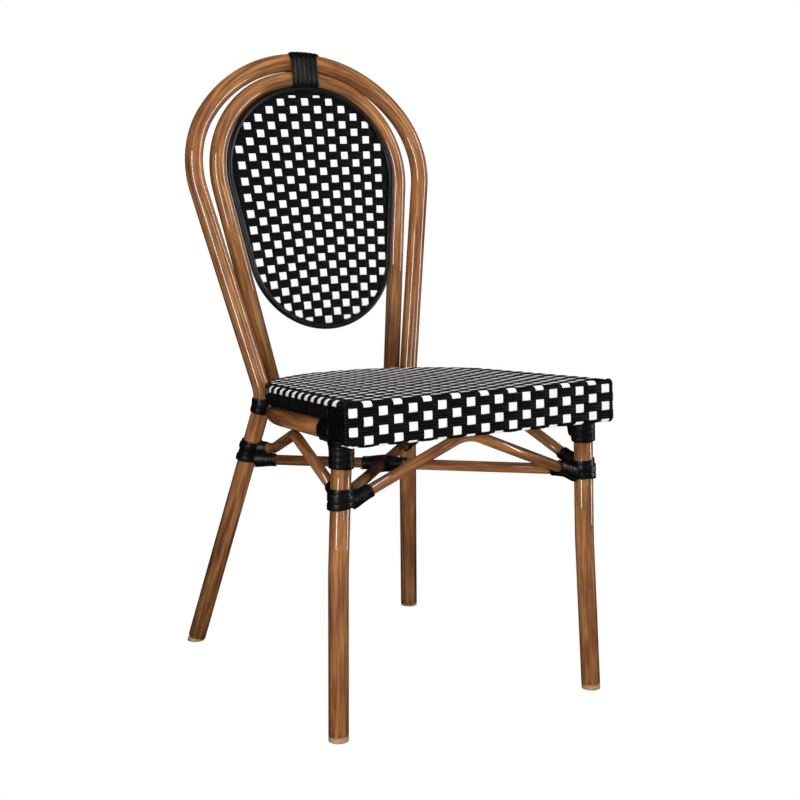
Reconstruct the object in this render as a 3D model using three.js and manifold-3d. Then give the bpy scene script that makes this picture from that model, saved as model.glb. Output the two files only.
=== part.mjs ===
// Café side chair: bent round tube in a bamboo print, with a woven seat and back panel.
// Millimetres, +Z up. The chair faces -Y, and left and right are named as seen from the front.
import * as THREE from 'three';
import { mergeVertices } from 'three/addons/utils/BufferGeometryUtils.js';
import Module from 'manifold-3d';

const wasm = await Module();
wasm.setup();

// Clearances between touching pieces
const TOUCH_GAP = 0.3;
const CUT_OVERRUN = 8;
const WELD_TOLERANCE = 1e-4;

// Tube sizes
const LEG_DIAMETER = 28;
const LEG_WALL = 1.5;
const INNER_HOOP_DIAMETER = 26;
const INNER_HOOP_WALL = 1.5;
const RAIL_DIAMETER = 28;
const RAIL_WALL = 1.5;
const BRACE_DIAMETER = 16;
const BRACE_WALL = 1.2;
const MAIN_TUBE_SIDES = 12;
const BRACE_SIDES = 10;
const BORE_SIDES_FEWER = 4;
const ARC_STEP = THREE.MathUtils.degToRad(10);

// A size called a drop is how far below the seat's front edge a place is.

// Outer hoop, in its own leaning plane, whose base is just forward of the seat's back edge
const BACK_BASE_DROP = 28.5;
const OUTER_HOOP_FORWARD = 3.5;
const OUTER_HOOP_LEAN = 0.243;
const OUTER_BASE_HALF_WIDTH = 135.1;
const OUTER_HALF_WIDTH = 201.779;
const OUTER_SIDE_RADIUS = 148.6;
const OUTER_CROWN_HALF_ANGLE = 0.939;
const OUTER_HOOP_HEIGHT = 505.8;

// Inner hoop, inside the outer one and in a slightly more upright plane
const INNER_HOOP_BEHIND = 6.9;
const INNER_HOOP_LEAN = 0.2228;
const INNER_BASE_TUCK = 1.3;
const INNER_SIDE_RADIUS_MORE = 3.2;
const INNER_CROWN_HALF_ANGLE = 0.388;
const HOOPS_SIDE_CLEARANCE = 13.558;
const HOOPS_CROWN_CLEARANCE = 3.2;

// Rear legs: the outer hoop bends at the knee and runs down to the feet
const KNEE_DROP = 30;
const KNEE_BEND_RADIUS = 70;
const REAR_FOOT_HALF_SPREAD = 202.5;
const REAR_FOOT_BEHIND = 107.5;

// Front legs, set in from the seat's sides
const FRONT_FOOT_INSET = 2.3;
const FRONT_FOOT_DEPTH = 0;
const FRONT_BEND_INSET = 10.3;
const FRONT_BEND_DEPTH = 12.6;
const FRONT_BEND_DROP = 236.5;
const FRONT_BEND_RADIUS = 400;
const FRONT_LEG_SIDE_CLEARANCE = 0.8;
const FRONT_TOP_DEPTH = 12.7;
const FRONT_TOP_DROP = 53.5;

// Foot caps
const CAP_HEIGHT = 8;
const CAP_STEM_LENGTH = 20;
const CAP_STEM_CLEARANCE = 0.5;

// Seat, in a frame that starts at the top front edge and drops to the back
const SEAT_FRONT_DEPTH = -34;
const SEAT_FRONT_HEIGHT = 468.5;
const SEAT_SLOPE = 0.056;
const SEAT_HALF_WIDTH = 215.2;
const SEAT_DEPTH = 441;
const SEAT_BACK_RADIUS = 194.5;
const SEAT_CORNER_RADIUS = 14;
const SEAT_EDGE_ROUNDING = 8;
const SEAT_BAND_HEIGHT = 30.5;
const WEAVE_THICKNESS = 2.2;
const BAND_RETURN = 11;
const APRON_HEIGHT = 58;
const APRON_DEPTH = 61;
const APRON_RETURN = 24;
const SEAT_FRAME_WIDTH = 18;
const APRON_BAR_DIAMETER = 16;
const APRON_BAR_WALL = 1.2;
const APRON_BAR_BEND_RADIUS = 14;

// Seat rail under the seat
const RAIL_BEND_RADIUS = 182;
const RAIL_DIAGONAL_ANGLE = THREE.MathUtils.degToRad(30);
const RAIL_BACK_BEHIND = 5.5;
const RAIL_BACK_BEND_RADIUS = 30;

// Back panel: its rim nests in the front of the inner hoop
const RIM_DIAMETER = 10;
const RIM_ROUNDING = 3;
const RIM_FORWARD = 7;
const PANEL_BOTTOM_HEIGHT = 74;
const PANEL_THICKNESS = 3.6;

// Braces between the legs
const FRONT_ARCH_APEX_DROP = 69.5;
const ARCH_BEND_RADIUS = 55;
const ARCH_FRONT_JOINT_DROP = 148.5;
const SIDE_ARCH_FRONT_JOINT_DROP = 136.5;
const SIDE_ARCH_APEX_DEPTH = 185;
const SIDE_ARCH_HEEL_REACH = 41;
const SIDE_ARCH_HEEL_RADIUS = 18;
const STRETCHER_FRONT_DROP = 138.5;
const STRETCHER_REAR_DROP = 157.5;

// Strip bindings
const STRIP_CORNERS = 6;
const STRIP_SIDES_SHARE = 0.3;
const STRIP_THICKNESS = 2.2;
const STRIP_LIFT = 0.8;
const CROWN_STRIP_WIDTH = 7.8;
const CROWN_STRIP_PITCH = 8.4;
const CROWN_STRIP_LOOPS = 6;
const CROWN_STRIP_STEPS = 20;
const CROWN_STRIP_START_SHARE = 0.125;
const JOINT_STRIP_WIDTH = 7;
const JOINT_STRIP_PITCH = 7.9;
const JOINT_STRIP_LOOPS = 3;
const JOINT_STRIP_STEPS = 16;
const BRACE_HALF_SECTOR = THREE.MathUtils.degToRad(36);
const CUFF_THICKNESS = 2.2;
const CUFF_START = 34;
const CUFF_END = 54;
const HEEL_CUFF_START = 23;
const HEEL_CUFF_END = 30;
const UNDER_HEEL_CUFF_START = 38;
const UNDER_HEEL_CUFF_END = 58;
const CROSSING_SLEEVE_HALF_LENGTH = 34;
const CROSSING_SLEEVE_SIDE_LENGTH = 19;
const SLEEVE_THICKNESS = 2.8;
const LEG_SLEEVE_BOTTOM_DROP = 95.5;
const LEG_SLEEVE_TOP_DROP = 64.5;
const RAIL_SLEEVE_END_DEPTH = 98;
const GUSSET_THICKNESS = 22;
const GUSSET_FOOT_DROP = 88.5;
const GUSSET_TIP_DEPTH_SHARE = 0.35;
const GUSSET_TIP_HEIGHT_SHARE = 0.7;
const REAR_SLEEVE_BOTTOM_DROP = 83.5;
const REAR_SLEEVE_TOP_DROP = 55.5;
const REAR_SLEEVE_RAIL_HALF_LENGTH = 20;

// Height of a place from its drop below the seat's front edge, and the depth of the back edge
function belowSeat(drop) {
  return SEAT_FRONT_HEIGHT - drop;
}
const seatBackDepth = SEAT_FRONT_DEPTH + SEAT_DEPTH;

// Finishes
const bambooPrint = new THREE.MeshStandardMaterial({ color: 0xa5693a, roughness: 0.3, metalness: 0 });
const blackStrip = new THREE.MeshStandardMaterial({ color: 0x161616, roughness: 0.45, metalness: 0 });
const checkWeave = new THREE.MeshStandardMaterial({ color: 0x4a4a48, roughness: 0.5, metalness: 0 });
const bareAluminium = new THREE.MeshStandardMaterial({ color: 0x8b8d90, roughness: 0.4, metalness: 1 });
const palePlastic = new THREE.MeshStandardMaterial({ color: 0xd8c4a2, roughness: 0.5, metalness: 0 });

const SIDES = [{ name: 'left', sign: -1 }, { name: 'right', sign: 1 }];
const X_AXIS = new THREE.Vector3(1, 0, 0);
const Z_AXIS = new THREE.Vector3(0, 0, 1);

// Direction that a straight line faces when it leaves a point and touches a circle on its right
function tangentAngle(point, centre, radius) {
  const spoke = point.clone().sub(centre);
  return Math.atan2(spoke.y, spoke.x) + Math.acos(radius / spoke.length());
}

// Points of a round arc in a plane, in steps of about ARC_STEP
function arcPoints(centre, radius, from, to) {
  const steps = Math.max(2, Math.ceil(Math.abs(to - from) / ARC_STEP));
  const points = [];
  for (let i = 0; i <= steps; i += 1) {
    const angle = from + ((to - from) * i) / steps;
    const x = centre.x + radius * Math.cos(angle);
    const y = centre.y + radius * Math.sin(angle);
    points.push(new THREE.Vector2(x, y));
  }
  return points;
}

function circlePoints(radius, sides) {
  const points = [];
  for (let i = 0; i < sides; i += 1) {
    const angle = ((i + 0.5) * 2 * Math.PI) / sides;
    points.push(new THREE.Vector2(radius * Math.cos(angle), radius * Math.sin(angle)));
  }
  return points;
}

// A straight line with round bends: one radius for each corner between the ends
function bentLine(corners, radii) {
  const points = [corners[0].clone()];
  for (let i = 1; i < corners.length - 1; i += 1) {
    const corner = corners[i];
    const radius = radii[i - 1];
    const back = corners[i - 1].clone().sub(corner).normalize();
    const ahead = corners[i + 1].clone().sub(corner).normalize();
    const halfTurn = (Math.PI - back.angleTo(ahead)) / 2;
    const inward = back.clone().add(ahead).normalize();
    const centre = corner.clone().addScaledVector(inward, radius / Math.cos(halfTurn));
    const spoke = corner.clone().addScaledVector(back, radius * Math.tan(halfTurn)).sub(centre);
    const axis = ahead.clone().cross(back).normalize();
    const steps = Math.max(2, Math.ceil((2 * halfTurn) / ARC_STEP));
    for (let k = 0; k <= steps; k += 1) {
      const turned = spoke.clone().applyAxisAngle(axis, (2 * halfTurn * k) / steps);
      points.push(centre.clone().add(turned));
    }
  }
  points.push(corners[corners.length - 1].clone());
  return points;
}

// A path that stops only at its own points, so that straight runs have no spare steps
class PointPath extends THREE.Curve {
  constructor(points) {
    super();
    this.points = points;
  }

  getPoint(share, target = new THREE.Vector3()) {
    const last = this.points.length - 1;
    return target.copy(this.points[Math.round(share * last)]);
  }

  getPointAt(share, target) {
    return this.getPoint(share, target);
  }

  getTangentAt(share, target = new THREE.Vector3()) {
    const last = this.points.length - 1;
    const index = Math.round(share * last);
    const here = this.points[index];
    target.set(0, 0, 0);
    if (index > 0) target.add(here.clone().sub(this.points[index - 1]).normalize());
    if (index < last) target.add(this.points[index + 1].clone().sub(here).normalize());
    return target.normalize();
  }
}

// A round bar along a path, or a tube that is open at both ends where it has a wall
function tube(points, diameter, sides, wall = 0, boreSides = sides - BORE_SIDES_FEWER) {
  const section = new THREE.Shape(circlePoints(diameter / 2, sides));
  const bore = circlePoints(diameter / 2 - wall, boreSides);
  if (wall > 0) section.holes.push(new THREE.Path(bore));
  const extrudePath = new PointPath(points);
  return new THREE.ExtrudeGeometry(section, { steps: points.length - 1, extrudePath });
}

function solidOf(geometry) {
  const bare = geometry.clone();
  bare.deleteAttribute('normal');
  bare.deleteAttribute('uv');
  const merged = mergeVertices(bare, WELD_TOLERANCE);
  const vertProperties = new Float32Array(merged.attributes.position.array);
  const triVerts = new Uint32Array(merged.index.array);
  return new wasm.Manifold(new wasm.Mesh({ numProp: 3, vertProperties, triVerts }));
}

function geometryOf(solid) {
  const mesh = solid.getMesh();
  const geometry = new THREE.BufferGeometry();
  geometry.setAttribute('position', new THREE.BufferAttribute(mesh.vertProperties, 3));
  geometry.setIndex(new THREE.BufferAttribute(mesh.triVerts, 1));
  geometry.computeVertexNormals();
  return geometry;
}

function cut(geometry, cutters) {
  const whole = solidOf(geometry);
  return geometryOf(cutters.reduce((rest, cutter) => rest.subtract(solidOf(cutter)), whole));
}

// A brace shaped to what it meets: the longest piece that the cuts leave
function cope(geometry, cutters) {
  const bodies = solidOf(cut(geometry, cutters)).decompose();
  return geometryOf(bodies.reduce((best, body) => (body.volume() > best.volume() ? body : best)));
}

function join(geometries) {
  return geometryOf(geometries.map(solidOf).reduce((all, one) => all.add(one)));
}

function common(geometry, other) {
  return geometryOf(solidOf(geometry).intersect(solidOf(other)));
}

function blockBetween(low, high) {
  const size = high.clone().sub(low);
  const middle = low.clone().add(high).divideScalar(2);
  return new THREE.BoxGeometry(size.x, size.y, size.z).translate(middle.x, middle.y, middle.z);
}

function addPiece(group, name, geometry, material) {
  const piece = new THREE.Mesh(geometry, material);
  piece.name = name;
  group.add(piece);
  return piece;
}

function mirrored(point) {
  return new THREE.Vector3(-point.x, point.y, point.z);
}

// Plane of a hoop: X across, Y up along the lean, Z out of its front
function hoopPlane(depth, lean) {
  const up = new THREE.Vector3(0, Math.sin(lean), Math.cos(lean));
  const front = new THREE.Vector3(0, -Math.cos(lean), Math.sin(lean));
  const matrix = new THREE.Matrix4().makeBasis(X_AXIS, up, front);
  return matrix.setPosition(0, depth, belowSeat(BACK_BASE_DROP));
}

// A hoop outline is a crown arc, two side arcs and two straight runs down to the base.
// runAngle is where a side arc meets its straight run, and reach is that run's distance
// from the middle of the base, measured square to the run.
function hoopShape({ baseHalfWidth, halfWidth, sideRadius, crownHalfAngle, height }) {
  const crownRadius = sideRadius + (halfWidth - sideRadius) / Math.sin(crownHalfAngle);
  const crownCentre = new THREE.Vector2(0, height - crownRadius);
  const crownEnd = Math.PI / 2 - crownHalfAngle;
  const toSide = new THREE.Vector2(Math.cos(crownEnd), Math.sin(crownEnd));
  const sideCentre = crownCentre.clone().addScaledVector(toSide, crownRadius - sideRadius);
  const runAngle = tangentAngle(new THREE.Vector2(baseHalfWidth, 0), sideCentre, sideRadius);
  const runNormal = new THREE.Vector2(Math.cos(runAngle), Math.sin(runAngle));
  const reach = sideCentre.dot(runNormal) + sideRadius;
  const shape = { crownCentre, sideCentre, crownEnd, crownRadius, sideRadius };
  return { ...shape, runAngle, runNormal, reach };
}

// The arcs of a hoop from the right straight run over the crown to the left one
function hoopArcs(shape, inset = 0) {
  const rightArc = arcPoints(shape.sideCentre, shape.sideRadius - inset, shape.runAngle, shape.crownEnd);
  const crownArc = arcPoints(
    shape.crownCentre, shape.crownRadius - inset, shape.crownEnd, Math.PI - shape.crownEnd,
  );
  const leftArc = rightArc.map((point) => new THREE.Vector2(-point.x, point.y)).reverse();
  return [...rightArc, ...crownArc.slice(1, -1), ...leftArc];
}

function ontoPlane(point, matrix) {
  return new THREE.Vector3(point.x, point.y, 0).applyMatrix4(matrix);
}

const chair = new THREE.Group();

// Outer hoop and rear legs
const outerShape = hoopShape({
  baseHalfWidth: OUTER_BASE_HALF_WIDTH,
  halfWidth: OUTER_HALF_WIDTH,
  sideRadius: OUTER_SIDE_RADIUS,
  crownHalfAngle: OUTER_CROWN_HALF_ANGLE,
  height: OUTER_HOOP_HEIGHT,
});
const outerPlane = hoopPlane(seatBackDepth - OUTER_HOOP_FORWARD, OUTER_HOOP_LEAN);
const outerArcs = hoopArcs(outerShape).map((point) => ontoPlane(point, outerPlane));
const kneeFlat = new THREE.Vector2(OUTER_BASE_HALF_WIDTH, 0).addScaledVector(
  new THREE.Vector2(outerShape.runNormal.y, -outerShape.runNormal.x), KNEE_DROP,
);
const rightKnee = ontoPlane(kneeFlat, outerPlane);
const rearFoot = new THREE.Vector3(REAR_FOOT_HALF_SPREAD, seatBackDepth + REAR_FOOT_BEHIND, 0);

// Distance along a leg from the floor to the end of its tube
const TUBE_START = CAP_HEIGHT + TOUCH_GAP;

function upFrom(foot, next, distance) {
  return foot.clone().addScaledVector(next.clone().sub(foot).normalize(), distance);
}

const rearLegCorners = [upFrom(rearFoot, rightKnee, TUBE_START), rightKnee, outerArcs[0]];
const rearLegRun = bentLine(rearLegCorners, [KNEE_BEND_RADIUS]);
const outerPath = [
  ...rearLegRun.slice(0, -1), ...outerArcs, ...rearLegRun.slice(0, -1).map(mirrored).reverse(),
];
addPiece(chair, 'back_hoop_outer', tube(outerPath, LEG_DIAMETER, MAIN_TUBE_SIDES, LEG_WALL), bambooPrint);

// Front legs, whose tops are cut to the slope of the seat frame
const frontFoot = new THREE.Vector3(SEAT_HALF_WIDTH - FRONT_FOOT_INSET, FRONT_FOOT_DEPTH, 0);
const frontBend = new THREE.Vector3(
  SEAT_HALF_WIDTH - FRONT_BEND_INSET, FRONT_BEND_DEPTH, belowSeat(FRONT_BEND_DROP),
);
const frontTop = new THREE.Vector3(
  SEAT_HALF_WIDTH - WEAVE_THICKNESS - FRONT_LEG_SIDE_CLEARANCE - LEG_DIAMETER / 2,
  FRONT_TOP_DEPTH,
  belowSeat(FRONT_TOP_DROP),
);
const frontLegEnd = upFrom(frontTop, frontTop.clone().multiplyScalar(2).sub(frontBend), APRON_HEIGHT);
const frontLegPath = bentLine(
  [upFrom(frontFoot, frontBend, TUBE_START), frontBend, frontLegEnd], [FRONT_BEND_RADIUS],
);

// Seat frame of reference, and the heights in it
const seat = new THREE.Group();
seat.position.set(0, SEAT_FRONT_DEPTH, SEAT_FRONT_HEIGHT);
seat.rotation.x = -SEAT_SLOPE;
seat.updateMatrix();
chair.add(seat);
const intoSeat = seat.matrix.clone().invert();
const FRAME_TOP = -(WEAVE_THICKNESS + TOUCH_GAP);
const FRAME_BOTTOM = -(SEAT_BAND_HEIGHT - WEAVE_THICKNESS - TOUCH_GAP);
const RAIL_LEVEL = -(SEAT_BAND_HEIGHT + TOUCH_GAP + RAIL_DIAMETER / 2);

function aboveLevel(level) {
  const low = new THREE.Vector3(-2 * SEAT_HALF_WIDTH, -SEAT_DEPTH, level);
  const high = new THREE.Vector3(2 * SEAT_HALF_WIDTH, 2 * SEAT_DEPTH, level + 2 * APRON_HEIGHT);
  return blockBetween(low, high).applyMatrix4(seat.matrix);
}

const legTopCutter = aboveLevel(FRAME_BOTTOM - TOUCH_GAP);
for (const { name, sign } of SIDES) {
  const path = sign > 0 ? frontLegPath : frontLegPath.map(mirrored);
  const whole = tube(path, LEG_DIAMETER, MAIN_TUBE_SIDES, LEG_WALL);
  addPiece(chair, `front_leg_${name}`, cut(whole, [legTopCutter]), bambooPrint);
}

// Seat outline: a straight front, sides that taper behind the front legs, and a round back.
// sideAngle is the direction that a tapering side faces.
const seatCentre = new THREE.Vector2(0, SEAT_DEPTH - SEAT_BACK_RADIUS);
const sideAngle = tangentAngle(new THREE.Vector2(SEAT_HALF_WIDTH, APRON_DEPTH), seatCentre, SEAT_BACK_RADIUS);

function seatOutline(inset) {
  const right = SEAT_HALF_WIDTH - inset;
  const backRadius = SEAT_BACK_RADIUS - inset;
  const cornerRadius = Math.max(SEAT_CORNER_RADIUS - inset, TOUCH_GAP);
  const cornerCentre = new THREE.Vector2(right - cornerRadius, inset + cornerRadius);
  const corner = arcPoints(cornerCentre, cornerRadius, -Math.PI / 2, 0);
  const taperStart = seatCentre.y + (backRadius - right * Math.cos(sideAngle)) / Math.sin(sideAngle);
  const halfBack = arcPoints(seatCentre, backRadius, sideAngle, Math.PI / 2);
  const half = [...corner, new THREE.Vector2(right, taperStart), ...halfBack];
  const otherHalf = half.slice(0, -1).map((point) => new THREE.Vector2(-point.x, point.y)).reverse();
  return [...half, ...otherHalf];
}

// A flat piece with rounded edges between two heights, from an outline that it fills
function roundedPlate(outlineAt, inset, rounding, bottom, top, { holeInset = null, edgeSteps = 1 } = {}) {
  const shape = new THREE.Shape(outlineAt(inset + rounding));
  if (holeInset !== null) shape.holes.push(new THREE.Path(outlineAt(holeInset - rounding)));
  const depth = top - bottom - 2 * rounding;
  const bevel = { bevelThickness: rounding, bevelSize: rounding, bevelSegments: edgeSteps };
  return new THREE.ExtrudeGeometry(shape, { depth, ...bevel }).translate(0, 0, bottom + rounding);
}

// The part of a shape between the seat's front and a depth behind it
function frontPart(geometry, from, to) {
  const low = new THREE.Vector3(-2 * SEAT_HALF_WIDTH, from, -2 * APRON_HEIGHT);
  const high = new THREE.Vector3(2 * SEAT_HALF_WIDTH, to, APRON_HEIGHT);
  return common(geometry, blockBetween(low, high));
}

// Woven seat: a skin over the frame, rolled under it, with a deep apron in front
const innerRounding = SEAT_EDGE_ROUNDING - WEAVE_THICKNESS;
const softEdge = { edgeSteps: 2 };
const FRAME_ROOM_BOTTOM = -(SEAT_BAND_HEIGHT - WEAVE_THICKNESS);
const APRON_ROOM_BOTTOM = -(APRON_HEIGHT - WEAVE_THICKNESS);

function outerSkin(height) {
  return roundedPlate(seatOutline, 0, SEAT_EDGE_ROUNDING, -height, 0, softEdge);
}

function innerRoom(bottom) {
  return roundedPlate(seatOutline, WEAVE_THICKNESS, innerRounding, bottom, -WEAVE_THICKNESS, softEdge);
}

// An opening through the underside, straight down from a level
function opening(inset, from) {
  const shape = new THREE.Shape(seatOutline(inset));
  return new THREE.ExtrudeGeometry(shape, { depth: APRON_HEIGHT, bevelEnabled: false })
    .translate(0, 0, from - APRON_HEIGHT);
}
const pastApron = APRON_DEPTH + CUT_OVERRUN;
const apronSkin = frontPart(outerSkin(APRON_HEIGHT), -CUT_OVERRUN, APRON_DEPTH);
const weaveSkin = join([outerSkin(SEAT_BAND_HEIGHT), apronSkin]);
const seatWeave = cut(weaveSkin, [
  innerRoom(FRAME_ROOM_BOTTOM),
  frontPart(innerRoom(APRON_ROOM_BOTTOM), -CUT_OVERRUN, pastApron),
  opening(BAND_RETURN, FRAME_ROOM_BOTTOM / 2),
  frontPart(opening(WEAVE_THICKNESS, APRON_ROOM_BOTTOM / 2), APRON_RETURN, pastApron),
]);
addPiece(seat, 'seat_weave', seatWeave, checkWeave);

const frameInset = WEAVE_THICKNESS + TOUCH_GAP;
const seatFrame = roundedPlate(
  seatOutline, frameInset, innerRounding - TOUCH_GAP, FRAME_BOTTOM, FRAME_TOP,
  { holeInset: frameInset + SEAT_FRAME_WIDTH },
);
addPiece(seat, 'seat_frame', seatFrame, bareAluminium);

// Solid bars the size of each front leg with its clearance, for shaping what meets it
function clearanceBar(points, diameter, sides) {
  return tube(points, diameter + 2 * TOUCH_GAP, sides);
}
const frontLegBar = clearanceBar(frontLegPath, LEG_DIAMETER, MAIN_TUBE_SIDES);
const rearLegBar = clearanceBar(rearLegRun, LEG_DIAMETER, MAIN_TUBE_SIDES);

// The mirrored copy of a shape, with its faces turned to point out again
function mirrorShape(geometry) {
  return geometryOf(solidOf(geometry).mirror([1, 0, 0]));
}
const legBars = {
  frontRight: frontLegBar,
  frontLeft: mirrorShape(frontLegBar),
  rearRight: rearLegBar,
  rearLeft: mirrorShape(rearLegBar),
};
const frontLegBars = [legBars.frontRight, legBars.frontLeft];
const legBarsInSeat = frontLegBars.map((bar) => bar.clone().applyMatrix4(intoSeat));

// Lower bar of the apron, bent back to the front legs
const barInset = WEAVE_THICKNESS + TOUCH_GAP + APRON_BAR_DIAMETER / 2;
const barLevel = -(APRON_HEIGHT - barInset);
const legLineInSeat = frontTop.clone().applyMatrix4(intoSeat);
const barCorner = new THREE.Vector3(SEAT_HALF_WIDTH - barInset, barInset, barLevel);
const barEnd = new THREE.Vector3(barCorner.x, legLineInSeat.y - APRON_BAR_DIAMETER / 2, barLevel);
const apronBarPath = bentLine(
  [barEnd, barCorner, mirrored(barCorner), mirrored(barEnd)], [APRON_BAR_BEND_RADIUS, APRON_BAR_BEND_RADIUS],
);
const apronBar = tube(apronBarPath, APRON_BAR_DIAMETER, BRACE_SIDES, APRON_BAR_WALL);
addPiece(seat, 'apron_bar', cope(apronBar, legBarsInSeat), bareAluminium);

// Where a path crosses a level of the seat's frame, and its direction there
function crossingInSeat(points, level) {
  const local = points.map((point) => point.clone().applyMatrix4(intoSeat));
  const index = local.findIndex((point) => point.z > level);
  const low = local[index - 1];
  const high = local[index];
  const direction = high.clone().sub(low);
  const point = low.clone().addScaledVector(direction, (level - low.z) / direction.z);
  return { point, direction: direction.normalize() };
}

// Seat rail: along each side, diagonally in to touch the rear leg, and across the back
const rearCrossing = crossingInSeat(rearLegRun, RAIL_LEVEL);
const diagonal = new THREE.Vector3(-Math.sin(RAIL_DIAGONAL_ANGLE), Math.cos(RAIL_DIAGONAL_ANGLE), 0);
const diagonalNormal = new THREE.Vector3(diagonal.y, -diagonal.x, 0);
const shortestWay = rearCrossing.direction.clone().cross(diagonal).normalize();
const tubesApart = (LEG_DIAMETER + RAIL_DIAMETER) / 2 + TOUCH_GAP;
const railOffset = tubesApart / Math.abs(diagonalNormal.dot(shortestWay));
const contactPoint = rearCrossing.point.clone().addScaledVector(diagonalNormal, -railOffset);
function onDiagonal(depth) {
  const steps = (depth - contactPoint.y) / diagonal.y;
  return new THREE.Vector3(contactPoint.x + diagonal.x * steps, depth, RAIL_LEVEL);
}
const railFront = new THREE.Vector3(
  SEAT_HALF_WIDTH - WEAVE_THICKNESS - TOUCH_GAP - RAIL_DIAMETER / 2, legLineInSeat.y, RAIL_LEVEL,
);
const railSideSlope = Math.tan(
  tangentAngle(new THREE.Vector2(railFront.x, railFront.y), seatCentre, SEAT_BACK_RADIUS - RAIL_DIAMETER / 2),
);
function onRailSide(depth, level) {
  return new THREE.Vector3(railFront.x - (depth - railFront.y) * railSideSlope, depth, level);
}
const closingSlope = Math.tan(RAIL_DIAGONAL_ANGLE) - railSideSlope;
const sideCornerDepth = (onDiagonal(0).x - onRailSide(0, 0).x) / closingSlope;
const railCorner = onDiagonal(sideCornerDepth);
const railBack = onDiagonal(SEAT_DEPTH + RAIL_BACK_BEHIND);
const railCorners = [railFront, railCorner, railBack];
const railPath = bentLine(
  [...railCorners, ...railCorners.map(mirrored).reverse()],
  [RAIL_BEND_RADIUS, RAIL_BACK_BEND_RADIUS, RAIL_BACK_BEND_RADIUS, RAIL_BEND_RADIUS],
);
const railTube = tube(railPath, RAIL_DIAMETER, MAIN_TUBE_SIDES, RAIL_WALL);
addPiece(seat, 'seat_rail', cope(railTube, legBarsInSeat), bambooPrint);
const railBar = clearanceBar(railPath, RAIL_DIAMETER, MAIN_TUBE_SIDES).applyMatrix4(seat.matrix);

// Inner hoop, which stands on the seat rail
const hoopsTouching = (LEG_DIAMETER + INNER_HOOP_DIAMETER) / 2;
const innerBaseHalfWidth = OUTER_BASE_HALF_WIDTH - hoopsTouching + INNER_BASE_TUCK;
const innerShape = hoopShape({
  baseHalfWidth: innerBaseHalfWidth,
  halfWidth: OUTER_HALF_WIDTH - hoopsTouching - HOOPS_SIDE_CLEARANCE,
  sideRadius: OUTER_SIDE_RADIUS + INNER_SIDE_RADIUS_MORE,
  crownHalfAngle: INNER_CROWN_HALF_ANGLE,
  height: OUTER_HOOP_HEIGHT - hoopsTouching - HOOPS_CROWN_CLEARANCE,
});
const innerPlane = hoopPlane(seatBackDepth + INNER_HOOP_BEHIND, INNER_HOOP_LEAN);
const innerArcs = hoopArcs(innerShape).map((point) => ontoPlane(point, innerPlane));
const innerBase = ontoPlane(new THREE.Vector2(innerBaseHalfWidth, 0), innerPlane);
const innerRunDown = innerBase.clone().sub(innerArcs[0]).normalize();
const innerLean = Math.acos(-innerRunDown.z);
const innerDropInSeat = innerRunDown.clone().transformDirection(intoSeat);
const innerBaseInSeat = innerBase.clone().applyMatrix4(intoSeat);
const standLevel = -SEAT_BAND_HEIGHT + (INNER_HOOP_DIAMETER / 2) * Math.sin(innerLean + SEAT_SLOPE);
const innerEnd = innerBase.clone().addScaledVector(
  innerRunDown, (standLevel - innerBaseInSeat.z) / innerDropInSeat.z,
);
const innerPath = [innerEnd, ...innerArcs, mirrored(innerEnd)];
const innerTube = tube(innerPath, INNER_HOOP_DIAMETER, MAIN_TUBE_SIDES, INNER_HOOP_WALL);
addPiece(chair, 'back_hoop_inner', innerTube, bambooPrint);

// Back panel, in the plane of the inner hoop and a little forward of it, notched for the crown's binding
const panel = new THREE.Group();
panel.applyMatrix4(innerPlane);
chair.add(panel);
const hoopToRim = (INNER_HOOP_DIAMETER + RIM_DIAMETER) / 2 + TOUCH_GAP;
const rimInset = Math.sqrt(hoopToRim ** 2 - RIM_FORWARD ** 2);
const bottomRadius = (innerShape.reach - rimInset - PANEL_BOTTOM_HEIGHT * innerShape.runNormal.y)
  / (1 + innerShape.runNormal.y);
const bottomCentre = new THREE.Vector2(0, PANEL_BOTTOM_HEIGHT + bottomRadius);

function panelOutline(inset) {
  const upper = hoopArcs(innerShape, rimInset + inset);
  const lower = arcPoints(
    bottomCentre, bottomRadius - inset, Math.PI - innerShape.runAngle, 2 * Math.PI + innerShape.runAngle,
  );
  return [...upper, ...lower];
}
const rimHalf = RIM_DIAMETER / 2;
const rim = roundedPlate(
  panelOutline, -rimHalf, RIM_ROUNDING, RIM_FORWARD - rimHalf, RIM_FORWARD + rimHalf, { holeInset: rimHalf },
);
const notchDiameter = INNER_HOOP_DIAMETER + 2 * (2 * STRIP_LIFT + STRIP_THICKNESS);
const notchHalf = (CROWN_STRIP_LOOPS * CROWN_STRIP_PITCH + CROWN_STRIP_WIDTH) / 2 + TOUCH_GAP;
const notchPath = arcPoints(
  innerShape.crownCentre, innerShape.crownRadius,
  Math.PI / 2 - notchHalf / innerShape.crownRadius, Math.PI / 2 + notchHalf / innerShape.crownRadius,
).map((point) => new THREE.Vector3(point.x, point.y, 0));
const rimNotch = tube(notchPath, notchDiameter, MAIN_TUBE_SIDES);
addPiece(panel, 'back_panel_rim', cut(rim, [rimNotch]), blackStrip);
const panelSheet = new THREE.ExtrudeGeometry(
  new THREE.Shape(panelOutline(rimHalf + TOUCH_GAP)), { depth: PANEL_THICKNESS, bevelEnabled: false },
).translate(0, 0, RIM_FORWARD - PANEL_THICKNESS / 2);
addPiece(panel, 'back_panel_weave', panelSheet, checkWeave);

// Point of a straight leg line at a height
function onLine(low, high, height) {
  return low.clone().lerp(high, (height - low.z) / (high.z - low.z));
}
const frontLegAt = (height) => onLine(frontBend, frontTop, height);
const rearLegAt = (height) => onLine(rearFoot, rightKnee, height);

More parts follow.
